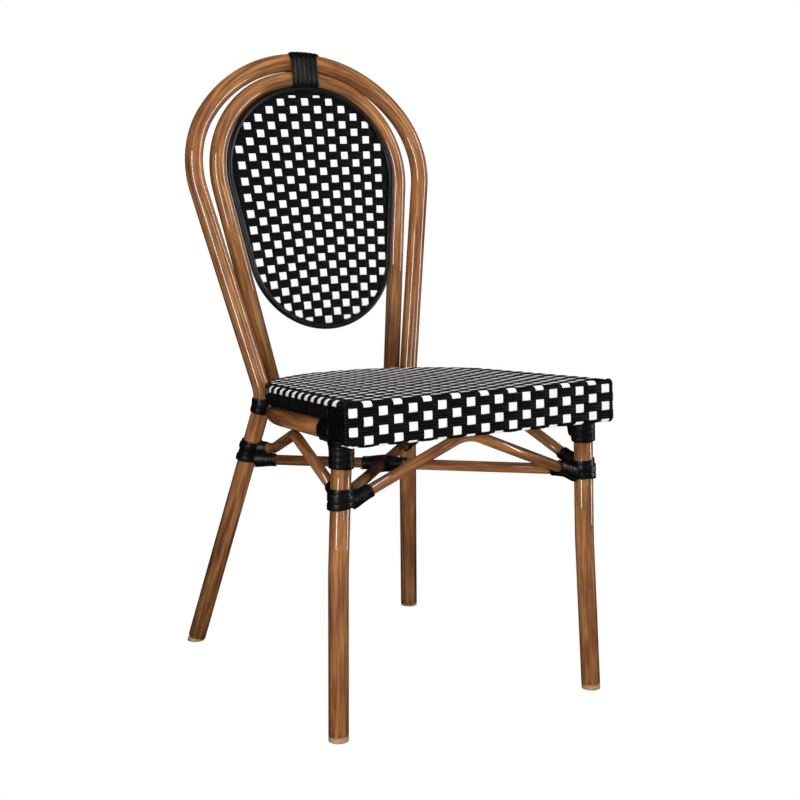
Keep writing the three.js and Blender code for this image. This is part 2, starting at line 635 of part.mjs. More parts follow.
// Arched braces: straight runs either side of a bend, whose crown stands at apexHeight. Some have a
// heel, which is one more bend before their end.
function archPath(start, apexPlan, apexHeight, end, heel = null) {
  const apex = new THREE.Vector3(apexPlan.x, apexPlan.y, apexHeight);
  const toStart = start.clone().sub(apex).normalize();
  const toNext = (heel ?? end).clone().sub(apex).normalize();
  const halfTurn = (Math.PI - toStart.angleTo(toNext)) / 2;
  const inward = toStart.clone().add(toNext).normalize();
  apex.addScaledVector(inward, -ARCH_BEND_RADIUS * (1 / Math.cos(halfTurn) - 1));
  if (heel === null) return bentLine([start, apex, end], [ARCH_BEND_RADIUS]);
  return bentLine([start, apex, heel, end], [ARCH_BEND_RADIUS, SIDE_ARCH_HEEL_RADIUS]);
}
function along(from, to, distance) {
  return from.clone().addScaledVector(to.clone().sub(from).normalize(), distance);
}
const frontArchStart = frontLegAt(belowSeat(ARCH_FRONT_JOINT_DROP));
const frontArchApex = new THREE.Vector2(0, frontArchStart.y);
const frontArchTop = belowSeat(FRONT_ARCH_APEX_DROP);
const frontArchPath = archPath(frontArchStart, frontArchApex, frontArchTop, mirrored(frontArchStart));
const frontArchBar = clearanceBar(frontArchPath, BRACE_DIAMETER, BRACE_SIDES);
const frontArch = tube(frontArchPath, BRACE_DIAMETER, BRACE_SIDES, BRACE_WALL);
addPiece(chair, 'front_arch', cope(frontArch, frontLegBars), bambooPrint);

// Front rail between the front legs, which the front arch touches
const frontRailHeight = frontArchTop + BRACE_DIAMETER + TOUCH_GAP;
const frontRailEnd = frontLegAt(frontRailHeight);
const frontRail = tube([frontRailEnd, mirrored(frontRailEnd)], BRACE_DIAMETER, BRACE_SIDES, BRACE_WALL);
addPiece(chair, 'front_rail', cope(frontRail, [...frontLegBars, railBar]), bareAluminium);

const frontJoint = frontLegAt(belowSeat(STRETCHER_FRONT_DROP));
const rearJoint = rearLegAt(belowSeat(STRETCHER_REAR_DROP));

// Side arches, which touch the seat rail from below. Past its heel, each runs to the rear leg over the
// cuff of a stretcher.
const sideApexDepthInSeat = SIDE_ARCH_APEX_DEPTH - SEAT_FRONT_DEPTH;
const railUnderside = RAIL_LEVEL - RAIL_DIAMETER / 2 - TOUCH_GAP - BRACE_DIAMETER / 2;
const sideApex = onRailSide(sideApexDepthInSeat, railUnderside).applyMatrix4(seat.matrix);
const sideArchStart = frontLegAt(belowSeat(SIDE_ARCH_FRONT_JOINT_DROP));
const heelRise = BRACE_DIAMETER + CUFF_THICKNESS + 2 * TOUCH_GAP;
const rearArchEnd = rearLegAt(rearJoint.z + heelRise);
const archShift = rearArchEnd.clone().sub(rearJoint);
const heel = along(rearArchEnd, mirrored(frontJoint).add(archShift), SIDE_ARCH_HEEL_REACH);
const sideArchPath = archPath(sideArchStart, sideApex, sideApex.z, rearArchEnd, heel);
const sideArchBar = clearanceBar(sideArchPath, BRACE_DIAMETER, BRACE_SIDES);
const sideArchRight = cope(
  tube(sideArchPath, BRACE_DIAMETER, BRACE_SIDES, BRACE_WALL), [legBars.frontRight, legBars.rearRight],
);
addPiece(chair, 'side_arch_right', sideArchRight, bambooPrint);
addPiece(chair, 'side_arch_left', mirrorShape(sideArchRight), bambooPrint);
const sideArchBars = [sideArchBar, mirrorShape(sideArchBar)];

// Crossed stretchers: one runs through, and the other meets it in two halves
const longPath = [frontJoint, mirrored(rearJoint)];
const shortPath = [mirrored(frontJoint), rearJoint];
const crossingShare = frontJoint.x / (frontJoint.x + rearJoint.x);
const crossing = frontJoint.clone().lerp(mirrored(rearJoint), crossingShare);
const braceCutters = [...Object.values(legBars), frontArchBar, ...sideArchBars];
const longBar = clearanceBar(longPath, BRACE_DIAMETER, BRACE_SIDES);
const stretcherPieces = [
  { name: 'stretcher_long', path: longPath, cutters: braceCutters },
  { name: 'stretcher_half_front', path: [shortPath[0], crossing], cutters: [...braceCutters, longBar] },
  { name: 'stretcher_half_rear', path: [crossing, shortPath[1]], cutters: [...braceCutters, longBar] },
];
for (const { name, path, cutters } of stretcherPieces) {
  const whole = tube(path, BRACE_DIAMETER, BRACE_SIDES, BRACE_WALL);
  addPiece(chair, name, cope(whole, cutters), bambooPrint);
}

// Sleeve bound over the crossing of the stretchers
const sleeveDiameter = BRACE_DIAMETER + 2 * (TOUCH_GAP + SLEEVE_THICKNESS);
const crossingSleeve = join([
  { path: longPath, reach: CROSSING_SLEEVE_HALF_LENGTH },
  { path: shortPath, reach: CROSSING_SLEEVE_SIDE_LENGTH },
].map(({ path, reach }) => {
  const ends = path.map((end) => along(crossing, end, reach));
  return tube(ends, sleeveDiameter, BRACE_SIDES);
}));
const shortBar = clearanceBar(shortPath, BRACE_DIAMETER, BRACE_SIDES);
addPiece(chair, 'stretcher_wrap', cut(crossingSleeve, [longBar, shortBar]), blackStrip);

// Cuffs bound round the ends of the braces
const cuffDiameter = BRACE_DIAMETER + 2 * (TOUCH_GAP + CUFF_THICKNESS);
const longCuff = [CUFF_START, CUFF_END];
const heelCuff = [HEEL_CUFF_START, HEEL_CUFF_END];
const underHeelCuff = [UNDER_HEEL_CUFF_START, UNDER_HEEL_CUFF_END];
const cuffRuns = [
  { name: 'cuff_front_arch', from: frontArchPath[0], to: frontArchPath[1], reach: longCuff },
  { name: 'cuff_side_arch_front', from: sideArchPath[0], to: sideArchPath[1], reach: longCuff },
  { name: 'cuff_side_arch_rear', from: sideArchPath.at(-1), to: sideArchPath.at(-2), reach: heelCuff },
  { name: 'cuff_stretcher_front', from: frontJoint, to: mirrored(rearJoint), reach: longCuff },
  { name: 'cuff_stretcher_rear', from: rearJoint, to: mirrored(frontJoint), reach: underHeelCuff },
];
for (const { name, from, to, reach } of cuffRuns) {
  for (const side of SIDES) {
    const ends = reach.map((distance) => along(from, to, distance));
    const path = side.sign > 0 ? ends : ends.map(mirrored);
    const cuff = tube(path, cuffDiameter, BRACE_SIDES, CUFF_THICKNESS, BRACE_SIDES);
    addPiece(chair, `${name}_${side.name}`, cuff, blackStrip);
  }
}

// Bindings where the seat meets the front legs: a sleeve on the leg, one on the rail and a web between
const legSleeveDiameter = LEG_DIAMETER + 2 * (TOUCH_GAP + SLEEVE_THICKNESS);
const railSleeveDiameter = RAIL_DIAMETER + 2 * (TOUCH_GAP + SLEEVE_THICKNESS);
const railSleeveEnd = onRailSide(RAIL_SLEEVE_END_DEPTH, RAIL_LEVEL).applyMatrix4(seat.matrix);
const railFrontWorld = railFront.clone().applyMatrix4(seat.matrix);
const webFront = frontTop.y + LEG_DIAMETER / 2;
const gussetFoot = belowSeat(GUSSET_FOOT_DROP);
const webShape = new THREE.Shape([
  new THREE.Vector2(frontTop.y, gussetFoot),
  new THREE.Vector2(webFront + SLEEVE_THICKNESS, gussetFoot),
  new THREE.Vector2(
    THREE.MathUtils.lerp(webFront, railSleeveEnd.y, GUSSET_TIP_DEPTH_SHARE),
    THREE.MathUtils.lerp(gussetFoot, railSleeveEnd.z, GUSSET_TIP_HEIGHT_SHARE),
  ),
  new THREE.Vector2(railSleeveEnd.y, railSleeveEnd.z - RAIL_DIAMETER / 2),
  new THREE.Vector2(railSleeveEnd.y, railSleeveEnd.z),
  new THREE.Vector2(frontTop.y, railSleeveEnd.z),
]);
const intoDepthPlane = new THREE.Matrix4().makeBasis(new THREE.Vector3(0, 1, 0), Z_AXIS, X_AXIS);
const web = new THREE.ExtrudeGeometry(webShape, { depth: GUSSET_THICKNESS, bevelEnabled: false })
  .translate(0, 0, -GUSSET_THICKNESS / 2)
  .applyMatrix4(intoDepthPlane)
  .translate((frontTop.x + railSleeveEnd.x) / 2, 0, 0);
const legSleeveEnds = [
  frontLegAt(belowSeat(LEG_SLEEVE_BOTTOM_DROP)), frontLegAt(belowSeat(LEG_SLEEVE_TOP_DROP)),
];
const frontBinding = join([
  tube(legSleeveEnds, legSleeveDiameter, MAIN_TUBE_SIDES),
  tube([railFrontWorld, railSleeveEnd], railSleeveDiameter, MAIN_TUBE_SIDES),
  web,
]);
const apronSpace = frontPart(
  roundedPlate(
    seatOutline, -TOUCH_GAP, SEAT_EDGE_ROUNDING, -(APRON_HEIGHT + TOUCH_GAP), APRON_HEIGHT, softEdge,
  ),
  -CUT_OVERRUN, APRON_DEPTH + TOUCH_GAP,
).applyMatrix4(seat.matrix);
const bandSpace = aboveLevel(-(SEAT_BAND_HEIGHT + TOUCH_GAP));
const frontWrapRight = cut(frontBinding, [legBars.frontRight, railBar, apronSpace, bandSpace]);
addPiece(chair, 'front_leg_wrap_right', frontWrapRight, blackStrip);
addPiece(chair, 'front_leg_wrap_left', mirrorShape(frontWrapRight), blackStrip);

// Bindings where the rail meets the rear legs
function pathBetweenHeights(points, low, high) {
  const inside = points.filter((point) => point.z > low && point.z < high);
  const below = points.filter((point) => point.z <= low).at(-1);
  const above = points.find((point) => point.z >= high);
  const start = onLine(below, inside[0] ?? above, low);
  const end = onLine(inside.at(-1) ?? below, above, high);
  return [start, ...inside, end];
}
const contactWorld = contactPoint.clone().applyMatrix4(seat.matrix);
const diagonalWorld = diagonal.clone().transformDirection(seat.matrix);
const rearSleevePath = pathBetweenHeights(
  rearLegRun, belowSeat(REAR_SLEEVE_BOTTOM_DROP), belowSeat(REAR_SLEEVE_TOP_DROP),
);
const rearBinding = join([
  tube(rearSleevePath, legSleeveDiameter, MAIN_TUBE_SIDES),
  tube(
    [
      contactWorld.clone().addScaledVector(diagonalWorld, -REAR_SLEEVE_RAIL_HALF_LENGTH),
      contactWorld.clone().addScaledVector(diagonalWorld, REAR_SLEEVE_RAIL_HALF_LENGTH / 2),
    ],
    railSleeveDiameter, MAIN_TUBE_SIDES,
  ),
]);
const innerBar = clearanceBar(innerPath, INNER_HOOP_DIAMETER, MAIN_TUBE_SIDES);
const outerBar = clearanceBar(outerPath, LEG_DIAMETER, MAIN_TUBE_SIDES);
const rearWrapRight = cut(rearBinding, [outerBar, railBar, innerBar, bandSpace]);
addPiece(chair, 'rear_seat_wrap_right', rearWrapRight, blackStrip);
addPiece(chair, 'rear_seat_wrap_left', mirrorShape(rearWrapRight), blackStrip);

// One unbroken flat strip along rings of a point, the way out from the tube, and the way on
function stripGeometry(rings, width) {
  const half = width / 2;
  const thick = STRIP_THICKNESS / 2;
  const shoulder = half * (1 - STRIP_SIDES_SHARE);
  const section = [
    [half, 0], [shoulder, thick], [-shoulder, thick], [-half, 0], [-shoulder, -thick], [shoulder, -thick],
  ];
  const positions = [];
  for (const { point, out, on } of rings) {
    const across = out.clone().cross(on).normalize();
    for (const [sideways, outward] of section) {
      const corner = point.clone().addScaledVector(across, sideways).addScaledVector(out, outward);
      positions.push(corner.x, corner.y, corner.z);
    }
  }
  const index = [];
  const count = STRIP_CORNERS;
  for (let ring = 0; ring < rings.length - 1; ring += 1) {
    for (let i = 0; i < count; i += 1) {
      const a = ring * count + i;
      const b = ring * count + ((i + 1) % count);
      index.push(a, b, a + count, b, b + count, a + count);
    }
  }
  const end = (rings.length - 1) * count;
  for (let i = 1; i < count - 1; i += 1) {
    index.push(0, i + 1, i);
    index.push(end, end + i, end + i + 1);
  }
  const geometry = new THREE.BufferGeometry();
  geometry.setAttribute('position', new THREE.Float32BufferAttribute(positions, 3));
  geometry.setIndex(index);
  geometry.computeVertexNormals();
  return geometry;
}

// Adds the way on to each ring, and a straight end one thickness long before and after
function finishRings(rings) {
  const done = rings.map(({ point, out }, i) => {
    const before = rings[Math.max(i - 1, 0)].point;
    const after = rings[Math.min(i + 1, rings.length - 1)].point;
    return { point, out, on: after.clone().sub(before).normalize() };
  });
  const first = done[0];
  const last = done.at(-1);
  const lead = first.point.clone().addScaledVector(first.on, -STRIP_THICKNESS);
  const tail = last.point.clone().addScaledVector(last.on, STRIP_THICKNESS);
  return [{ ...first, point: lead }, ...done, { ...last, point: tail }];
}

// Least gap between turns of a strip, measured between its corner points
function leastTurnGap(geometry, stepsPerTurn) {
  const position = geometry.attributes.position;
  const a = new THREE.Vector3();
  const b = new THREE.Vector3();
  const apart = (STRIP_CORNERS * stepsPerTurn) / 2;
  let least = Infinity;
  for (let i = 0; i < position.count; i += 1) {
    a.fromBufferAttribute(position, i);
    for (let j = i + apart; j < position.count; j += 1) {
      b.fromBufferAttribute(position, j);
      least = Math.min(least, a.distanceTo(b));
    }
  }
  return least;
}

// Six turns round both hoops at the crown
const stripStand = STRIP_LIFT + STRIP_THICKNESS / 2;
function crownPoint(shape, plane, x) {
  const drop = shape.crownRadius - Math.sqrt(shape.crownRadius ** 2 - x ** 2);
  return ontoPlane(new THREE.Vector2(x, shape.crownCentre.y + shape.crownRadius - drop), plane);
}
const crownRings = [];
const crownSteps = CROWN_STRIP_LOOPS * CROWN_STRIP_STEPS;
for (let step = 0; step <= crownSteps; step += 1) {
  const turn = step / CROWN_STRIP_STEPS;
  const x = (turn - CROWN_STRIP_LOOPS / 2) * CROWN_STRIP_PITCH;
  const upper = crownPoint(outerShape, outerPlane, x);
  const lower = crownPoint(innerShape, innerPlane, x);
  const apart = upper.clone().sub(lower).setX(0).normalize();
  const angle = 2 * Math.PI * (turn + CROWN_STRIP_START_SHARE);
  const out = apart.clone().applyAxisAngle(X_AXIS, angle);
  const lean = (INNER_HOOP_DIAMETER - LEG_DIAMETER) / 2 / upper.distanceTo(lower);
  const roundUpper = out.dot(apart) > lean;
  const radius = (roundUpper ? LEG_DIAMETER : INNER_HOOP_DIAMETER) / 2 + stripStand;
  const centre = roundUpper ? upper : lower;
  const crownRadius = (roundUpper ? outerShape : innerShape).crownRadius;
  const tilt = (x / crownRadius) * out.dot(apart);
  const point = centre.clone().setX(x).addScaledVector(out, radius);
  crownRings.push({ point, out: out.addScaledVector(X_AXIS, tilt).normalize() });
}
const crownStrip = stripGeometry(finishRings(crownRings), CROWN_STRIP_WIDTH);
addPiece(chair, 'top_wrap', crownStrip, blackStrip);
const gapReport = { top_wrap: leastTurnGap(crownStrip, CROWN_STRIP_STEPS) };

// How low and how high the braces reach on a leg, inside the room that its binding takes
function jointReach(axis, base, joints) {
  const nearReach = LEG_DIAMETER / 2;
  const farReach = LEG_DIAMETER / 2 + STRIP_LIFT + STRIP_THICKNESS + TOUCH_GAP;
  const distances = joints.flatMap(({ from, to }) => {
    const direction = to.clone().sub(from).normalize();
    const rise = direction.dot(axis);
    const run = Math.sqrt(1 - rise ** 2);
    const level = from.clone().sub(base).dot(axis);
    const half = BRACE_DIAMETER / 2 / run;
    const steps = [nearReach, farReach].map((reach) => level + (reach * rise) / run);
    return [Math.min(...steps) - half, Math.max(...steps) + half];
  });
  return { bottom: Math.min(...distances), top: Math.max(...distances) };
}

// Turns round a leg at its braces: one turn below them and the others above. Each turn is level
// where it passes the braces, and climbs to the next on the free side of the leg.
function legBinding(base, top, joints) {
  const axis = top.clone().sub(base).normalize();
  const reach = jointReach(axis, base, joints);
  const outward = joints.map(({ from, to }) => to.clone().sub(from));
  const angles = outward.map((direction) => Math.atan2(direction.y, direction.x));
  const middle = (Math.max(...angles) + Math.min(...angles)) / 2;
  const blockedHalf = (Math.max(...angles) - Math.min(...angles)) / 2 + BRACE_HALF_SECTOR;
  const freeHalf = Math.PI - blockedHalf;
  const levels = [reach.bottom - TOUCH_GAP - JOINT_STRIP_WIDTH / 2];
  for (let turn = 1; turn < JOINT_STRIP_LOOPS; turn += 1) {
    levels.push(reach.top + TOUCH_GAP + JOINT_STRIP_WIDTH / 2 + (turn - 1) * JOINT_STRIP_PITCH);
  }
  const rings = [];
  for (let step = 0; step <= JOINT_STRIP_LOOPS * JOINT_STRIP_STEPS; step += 1) {
    const swept = (step / JOINT_STRIP_STEPS) * 2 * Math.PI;
    const turn = Math.round(swept / (2 * Math.PI));
    const climb = THREE.MathUtils.smoothstep(swept - turn * 2 * Math.PI, -freeHalf, freeHalf);
    const low = levels[THREE.MathUtils.clamp(turn - 1, 0, JOINT_STRIP_LOOPS - 1)];
    const high = levels[THREE.MathUtils.clamp(turn, 0, JOINT_STRIP_LOOPS - 1)];
    const angle = middle + Math.PI + swept;
    const out = new THREE.Vector3(Math.cos(angle), Math.sin(angle), 0);
    out.addScaledVector(axis, -out.dot(axis)).normalize();
    const point = base.clone().addScaledVector(axis, THREE.MathUtils.lerp(low, high, climb));
    rings.push({ point: point.addScaledVector(out, LEG_DIAMETER / 2 + stripStand), out });
  }
  return stripGeometry(finishRings(rings), JOINT_STRIP_WIDTH);
}
const legBindings = [
  {
    place: 'front',
    base: frontBend,
    top: frontTop,
    joints: [
      { from: frontArchPath[0], to: frontArchPath[1] },
      { from: sideArchPath[0], to: sideArchPath[1] },
      { from: frontJoint, to: mirrored(rearJoint) },
    ],
  },
  {
    place: 'rear',
    base: rearFoot,
    top: rightKnee,
    joints: [
      { from: sideArchPath.at(-1), to: sideArchPath.at(-2) },
      { from: rearJoint, to: mirrored(frontJoint) },
    ],
  },
];
for (const { place, base, top, joints } of legBindings) {
  const rightSide = legBinding(base, top, joints);
  addPiece(chair, `lower_wrap_${place}_right`, rightSide, blackStrip);
  addPiece(chair, `lower_wrap_${place}_left`, mirrorShape(rightSide), blackStrip);
  gapReport[`lower_wrap_${place}`] = leastTurnGap(rightSide, JOINT_STRIP_STEPS);
}
console.log('least gap between turns, mm:', JSON.stringify(gapReport));

// Foot caps: a disc under the tube, cut level with the floor, with a stem inside the tube
function footCap(foot, next) {
  const stemRadius = (LEG_DIAMETER / 2 - LEG_WALL) * Math.cos(Math.PI / (MAIN_TUBE_SIDES - BORE_SIDES_FEWER))
    - CAP_STEM_CLEARANCE;
  const discEnds = [upFrom(foot, next, -CAP_HEIGHT), upFrom(foot, next, CAP_HEIGHT)];
  const disc = tube(discEnds, LEG_DIAMETER, MAIN_TUBE_SIDES);
  const stemTop = upFrom(foot, next, TUBE_START + CAP_STEM_LENGTH);
  const stem = tube([foot.clone(), stemTop], 2 * stemRadius, MAIN_TUBE_SIDES);
  const room = CAP_HEIGHT + CAP_STEM_LENGTH + LEG_DIAMETER;
  const low = new THREE.Vector3(foot.x - room, foot.y - room, 0);
  const high = new THREE.Vector3(foot.x + room, foot.y + room, 2 * room);
  return common(join([disc, stem]), blockBetween(low, high));
}
const caps = { front: footCap(frontFoot, frontBend), rear: footCap(rearFoot, rightKnee) };
for (const [place, cap] of Object.entries(caps)) {
  for (const { name, sign } of SIDES) {
    addPiece(chair, `foot_cap_${place}_${name}`, sign > 0 ? cap : mirrorShape(cap), palePlastic);
  }
}

// The part's origin is on the floor under the middle of the chair
chair.updateMatrixWorld(true);
const extent = new THREE.Box3().setFromObject(chair, true);
const middle = extent.getCenter(new THREE.Vector3());
chair.position.set(-middle.x, -middle.y, -extent.min.z);

export default chair;
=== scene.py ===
"""Looks of a café side chair of bent tube with a woven seat and back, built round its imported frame.

Sizes are in metres. The chair faces -Y, and left and right are named as seen from the front.
Classes work in the chair's own frame, whose depth starts at the front feet, and Skin.build moves
each piece to its place.
"""

import itertools
import logging
import math
from dataclasses import dataclass, field
from enum import Enum
from typing import Callable, Sequence

import bpy
import numpy as np
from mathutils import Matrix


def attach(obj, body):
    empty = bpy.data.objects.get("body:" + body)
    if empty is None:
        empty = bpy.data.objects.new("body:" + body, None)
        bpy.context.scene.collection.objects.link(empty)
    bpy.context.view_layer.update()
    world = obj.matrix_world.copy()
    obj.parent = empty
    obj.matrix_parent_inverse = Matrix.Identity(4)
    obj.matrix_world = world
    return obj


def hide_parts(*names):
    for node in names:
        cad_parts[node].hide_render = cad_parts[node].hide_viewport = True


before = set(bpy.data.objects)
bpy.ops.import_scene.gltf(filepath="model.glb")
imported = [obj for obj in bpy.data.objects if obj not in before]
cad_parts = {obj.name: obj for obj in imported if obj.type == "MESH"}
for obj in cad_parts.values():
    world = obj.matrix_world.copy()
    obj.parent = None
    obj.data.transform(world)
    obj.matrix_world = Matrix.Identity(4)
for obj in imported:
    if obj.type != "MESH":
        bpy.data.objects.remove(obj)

LOG = logging.getLogger("cafe_chair")
ROOT = "root"
LAY = "lay"
SAME_POINT = 1e-5
GRAIN_START_RANGE = 9.0
NOISE_ROUGHNESS = 0.6
NOISE_LOW, NOISE_HIGH = 0.3, 0.7
WHITE = (1.0, 1.0, 1.0, 1.0)

X_AXIS = np.array([1.0, 0.0, 0.0])
Y_AXIS = np.array([0.0, 1.0, 0.0])
Z_AXIS = np.array([0.0, 0.0, 1.0])
MIRROR = np.array([-1.0, 1.0, 1.0])
OFF_AXIS = np.array([0.1, 0.2, 1.0])
FRONT_FEET = np.array([0.0, -0.25268169, 0.0])

Array = np.ndarray
Socket = bpy.types.NodeSocket
Pair = tuple[float, float]
Triple = tuple[float, float, float]

# Where the printed grain starts on each tube, so that no two tubes look alike
GRAIN_STARTS = {
    "back_hoop_outer": 0.0,
    "back_hoop_inner": 3.1,
    "seat_rail": 5.3,
    "front_leg_left": 7.7,
    "front_leg_right": 9.2,
    "front_arch": 11.4,
    "side_arch_left": 12.9,
    "side_arch_right": 14.2,
    "stretcher_long": 15.6,
    "stretcher_half_front": 17.0,
    "stretcher_half_rear": 18.3,
}


class Side(Enum):
    """Which side of the chair a piece is on, as the sign of X."""

    LEFT = -1
    RIGHT = 1

    @property
    def word(self) -> str:
        """The side as piece names spell it."""
        return self.name.lower()

    def place(self, points: Array) -> Array:
        """Moves points that are made for the right side to this side."""
        return points if self is Side.RIGHT else points * MIRROR


class LightUse(Enum):
    """What a light is for: highlights alone, or shading alone."""

    GLOSS = "gloss"
    SHADE = "shade"


class Slot(Enum):
    """Material slots of the record."""

    BAMBOO = "bamboo_print"
    METAL = "bare_aluminium"
    STRIP = "black_strip"
    WEAVE = "check_weave"
    FOOT = "foot_cap"


def unit(vector: Array) -> Array:
    """Returns a vector, or each of an array of vectors, at length one."""
    return vector / np.linalg.norm(vector, axis=-1, keepdims=True)


def turned(vector: Array, axis: Array, angle: float) -> Array:
    """Turns a vector about an axis of length one."""
    cosine, sine = math.cos(angle), math.sin(angle)
    return vector * cosine + np.cross(axis, vector) * sine + axis * (axis @ vector) * (1 - cosine)


def smooth_step(share: Array) -> Array:
    """Eases from 0 to 1 as the share goes from 0 to 1."""
    held = np.clip(share, 0.0, 1.0)
    return held * held * (3 - 2 * held)


def ring_angles(sides: int) -> Array:
    """Angles of points round a ring, half a step off its axes."""
    return (np.arange(sides) + 0.5) * 2 * np.pi / sides


def on_circle(angles: Array) -> Array:
    """Points of a circle of radius one, with two columns."""
    return np.stack([np.cos(angles), np.sin(angles)], axis=1)


def between(angles: Array, first: Array, second: Array) -> Array:
    """Directions at some angles from a first one towards a second."""
    return np.cos(angles)[:, None] * first + np.sin(angles)[:, None] * second


def arc_points(centre: Array, radius: float, start: float, end: float, step: float) -> Array:
    """Points of a round arc in a plane.

    Args:
        centre: centre of the arc in the plane.
        radius: its radius.
        start: angle of its first point.
        end: angle of its last point.
        step: longest angle between two points.

    Returns:
        An array of points with two columns.
    """
    count = max(2, math.ceil(abs(end - start) / step))
    angles = np.linspace(start, end, count + 1)
    return centre + radius * on_circle(angles)


def bent_line(corners: Sequence[Array], radii: Sequence[float], step: float) -> Array:
    """A straight line with round bends.

    Args:
        corners: the two ends and the corners between them.
        radii: one bend radius for each corner between the ends.
        step: longest angle between two points of a bend.

    Returns:
        The points of the line.
    """
    points = [corners[0]]
    for before, corner, after, radius in zip(corners, corners[1:], corners[2:], radii):
        back, ahead = unit(before - corner), unit(after - corner)
        half_turn = (math.pi - math.acos(float(np.clip(back @ ahead, -1, 1)))) / 2
        centre = corner + unit(back + ahead) * (radius / math.cos(half_turn))
        spoke = corner + back * (radius * math.tan(half_turn)) - centre
        axis = unit(np.cross(ahead, back))
        count = max(2, math.ceil(2 * half_turn / step))
        turns = [2 * half_turn * k / count for k in range(count + 1)]
        points += [centre + turned(spoke, axis, turn) for turn in turns]
    points.append(corners[-1])
    return np.array(points)


def path_lengths(path: Array) -> Array:
    """Distance along a path to each of its points."""
    return np.concatenate([[0.0], np.cumsum(np.linalg.norm(np.diff(path, axis=0), axis=1))])


def path_tangents(path: Array, looped: bool = False) -> Array:
    """Direction of a path at each of its points.

    Args:
        path: its points.
        looped: whether it closes on itself.

    Returns:
        Directions of length one.
    """
    if looped:
        return unit(np.roll(path, -1, axis=0) - np.roll(path, 1, axis=0))
    runs = unit(np.diff(path, axis=0))
    inner = unit(runs[:-1] + runs[1:])
    return np.concatenate([runs[:1], inner, runs[-1:]])


def carried_frames(path: Array, first_out: Array) -> tuple[Array, Array]:
    """Two directions square to a path, carried along it without twist.

    Args:
        path: the points of the path.
        first_out: a direction to start from, in any direction but the path's own.

    Returns:
        The directions across and out, so that across x out is the way along.
    """
    tangents = path_tangents(path)
    out = first_out
    outs = []
    for tangent in tangents:
        out = unit(out - tangent * (out @ tangent))
        outs.append(out)
    outs_array = np.array(outs)
    return np.cross(outs_array, tangents), outs_array


def round_section(radius: float, sides: int) -> Array:
    """Points round a circle."""
    return radius * on_circle(ring_angles(sides))


def strip_section(width: float, thickness: float, sides: int, squareness: float) -> Array:
    """Points round the cross-section of a strip, from oval to nearly square.

    Args:
        width: size across.
        thickness: size out.
        sides: number of points.
        squareness: 2 for an oval, more for squarer edges.

    Returns:
        An array of points with two columns, across and out.
    """
    circle = on_circle(ring_angles(sides))
    return np.sign(circle) * np.abs(circle) ** (2 / squareness) * np.array([width, thickness]) / 2


class Skin:
    """Closed bodies gathered into one mesh, with a coordinate that runs along each body."""

    def __init__(self) -> None:
        """Starts an empty mesh."""
        self.points: list[Array] = []
        self.lays: list[Array] = []
        self.faces: list[list[int]] = []
        self.count = 0

    def loft(self, rings: Array, lay: Array, looped: bool = False) -> None:
        """Adds one body that passes through rings of points.

        Args:
            rings: points, as rings x sides x 3.
            lay: the lengthwise coordinate of each point, in the same form.
            looped: whether the last ring joins the first.
        """
        steps, sides = rings.shape[:2]
        index = self.count + np.arange(steps * sides).reshape(steps, sides)
        here = index if looped else index[:-1]
        ahead = np.roll(index, -1, axis=0) if looped else index[1:]
        beside = np.roll(here, -1, axis=1)
        quads = np.stack([here, beside, np.roll(ahead, -1, axis=1), ahead], axis=-1)
        faces = quads.reshape(-1, 4).tolist()
        if not looped:
            faces += [index[0][::-1].tolist(), index[-1].tolist()]
        centre = rings[0].mean(axis=0)
        spokes = rings[0] - centre
        facing = np.cross(spokes, np.roll(spokes, -1, axis=0)).sum(axis=0)
        if facing @ (rings[1].mean(axis=0) - centre) < 0:
            faces = [face[::-1] for face in faces]
        self.points.append(rings.reshape(-1, 3))
        self.lays.append(lay.reshape(-1, 3))
        self.faces += faces
        self.count += steps * sides

    def sweep(
        self,
        path: Array,
        section: Array,
        frames: tuple[Array, Array],
        offset: float = 0.0,
        looped: bool = False,
    ) -> None:
        """Adds a body with one cross-section along a path.

        Args:
            path: centres of the rings.
            section: points of the cross-section, across and out.
            frames: the directions across and out at each centre.
            offset: where the lengthwise coordinate starts, so that no two bodies look alike.
            looped: whether the path closes on itself.
        """
        across, out = frames
        rings = (
            path[:, None]
            + section[None, :, :1] * across[:, None]
            + section[None, :, 1:] * out[:, None]
        )
        self.loft(rings, lengthwise(section, path_lengths(path), offset), looped)

    def build(self, name: str) -> bpy.types.Object:
        """Makes the Blender object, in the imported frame.

        Args:
            name: its name.

        Returns:
            The object.
        """
        mesh = bpy.data.meshes.new(name)
        mesh.from_pydata((np.concatenate(self.points) + FRONT_FEET).tolist(), [], self.faces)
        set_lay(mesh, np.concatenate(self.lays))
        mesh.shade_smooth()
        return in_scene(name, mesh)


def lengthwise(section: Array, lengths: Array, offset: float) -> Array:
    """Coordinates of a swept body as if it lay straight: across, out and along.

    Args:
        section: points of its cross-section.
        lengths: distance along it to each ring.
        offset: where the coordinate along it starts.

    Returns:
        An array of rings x points x 3.
    """
    lay = np.empty((len(lengths), len(section), 3))
    lay[:, :, :2] = section[None]
    lay[:, :, 2] = lengths[:, None] + offset
    return lay


def grain_start(random: np.random.Generator) -> float:
    """Draws where a body's lengthwise coordinate starts."""
    return float(random.uniform(0, GRAIN_START_RANGE))


def set_lay(mesh: bpy.types.Mesh, lay: Array) -> None:
    """Stores the lengthwise coordinates, which the materials read."""
    attribute = mesh.attributes.new(LAY, "FLOAT_VECTOR", "POINT")
    attribute.data.foreach_set("vector", lay.ravel().astype(np.float32))


def vertex_vectors(mesh: bpy.types.Mesh, kind: str) -> Array:
    """One vector of each point of a mesh: its place or its normal.

    Args:
        mesh: the mesh.
        kind: "co" for the places, "normal" for the normals.

    Returns:
        An array with three columns.
    """
    values = np.empty(len(mesh.vertices) * 3, np.float32)
    mesh.vertices.foreach_get(kind, values)
    return values.reshape(-1, 3).astype(float)


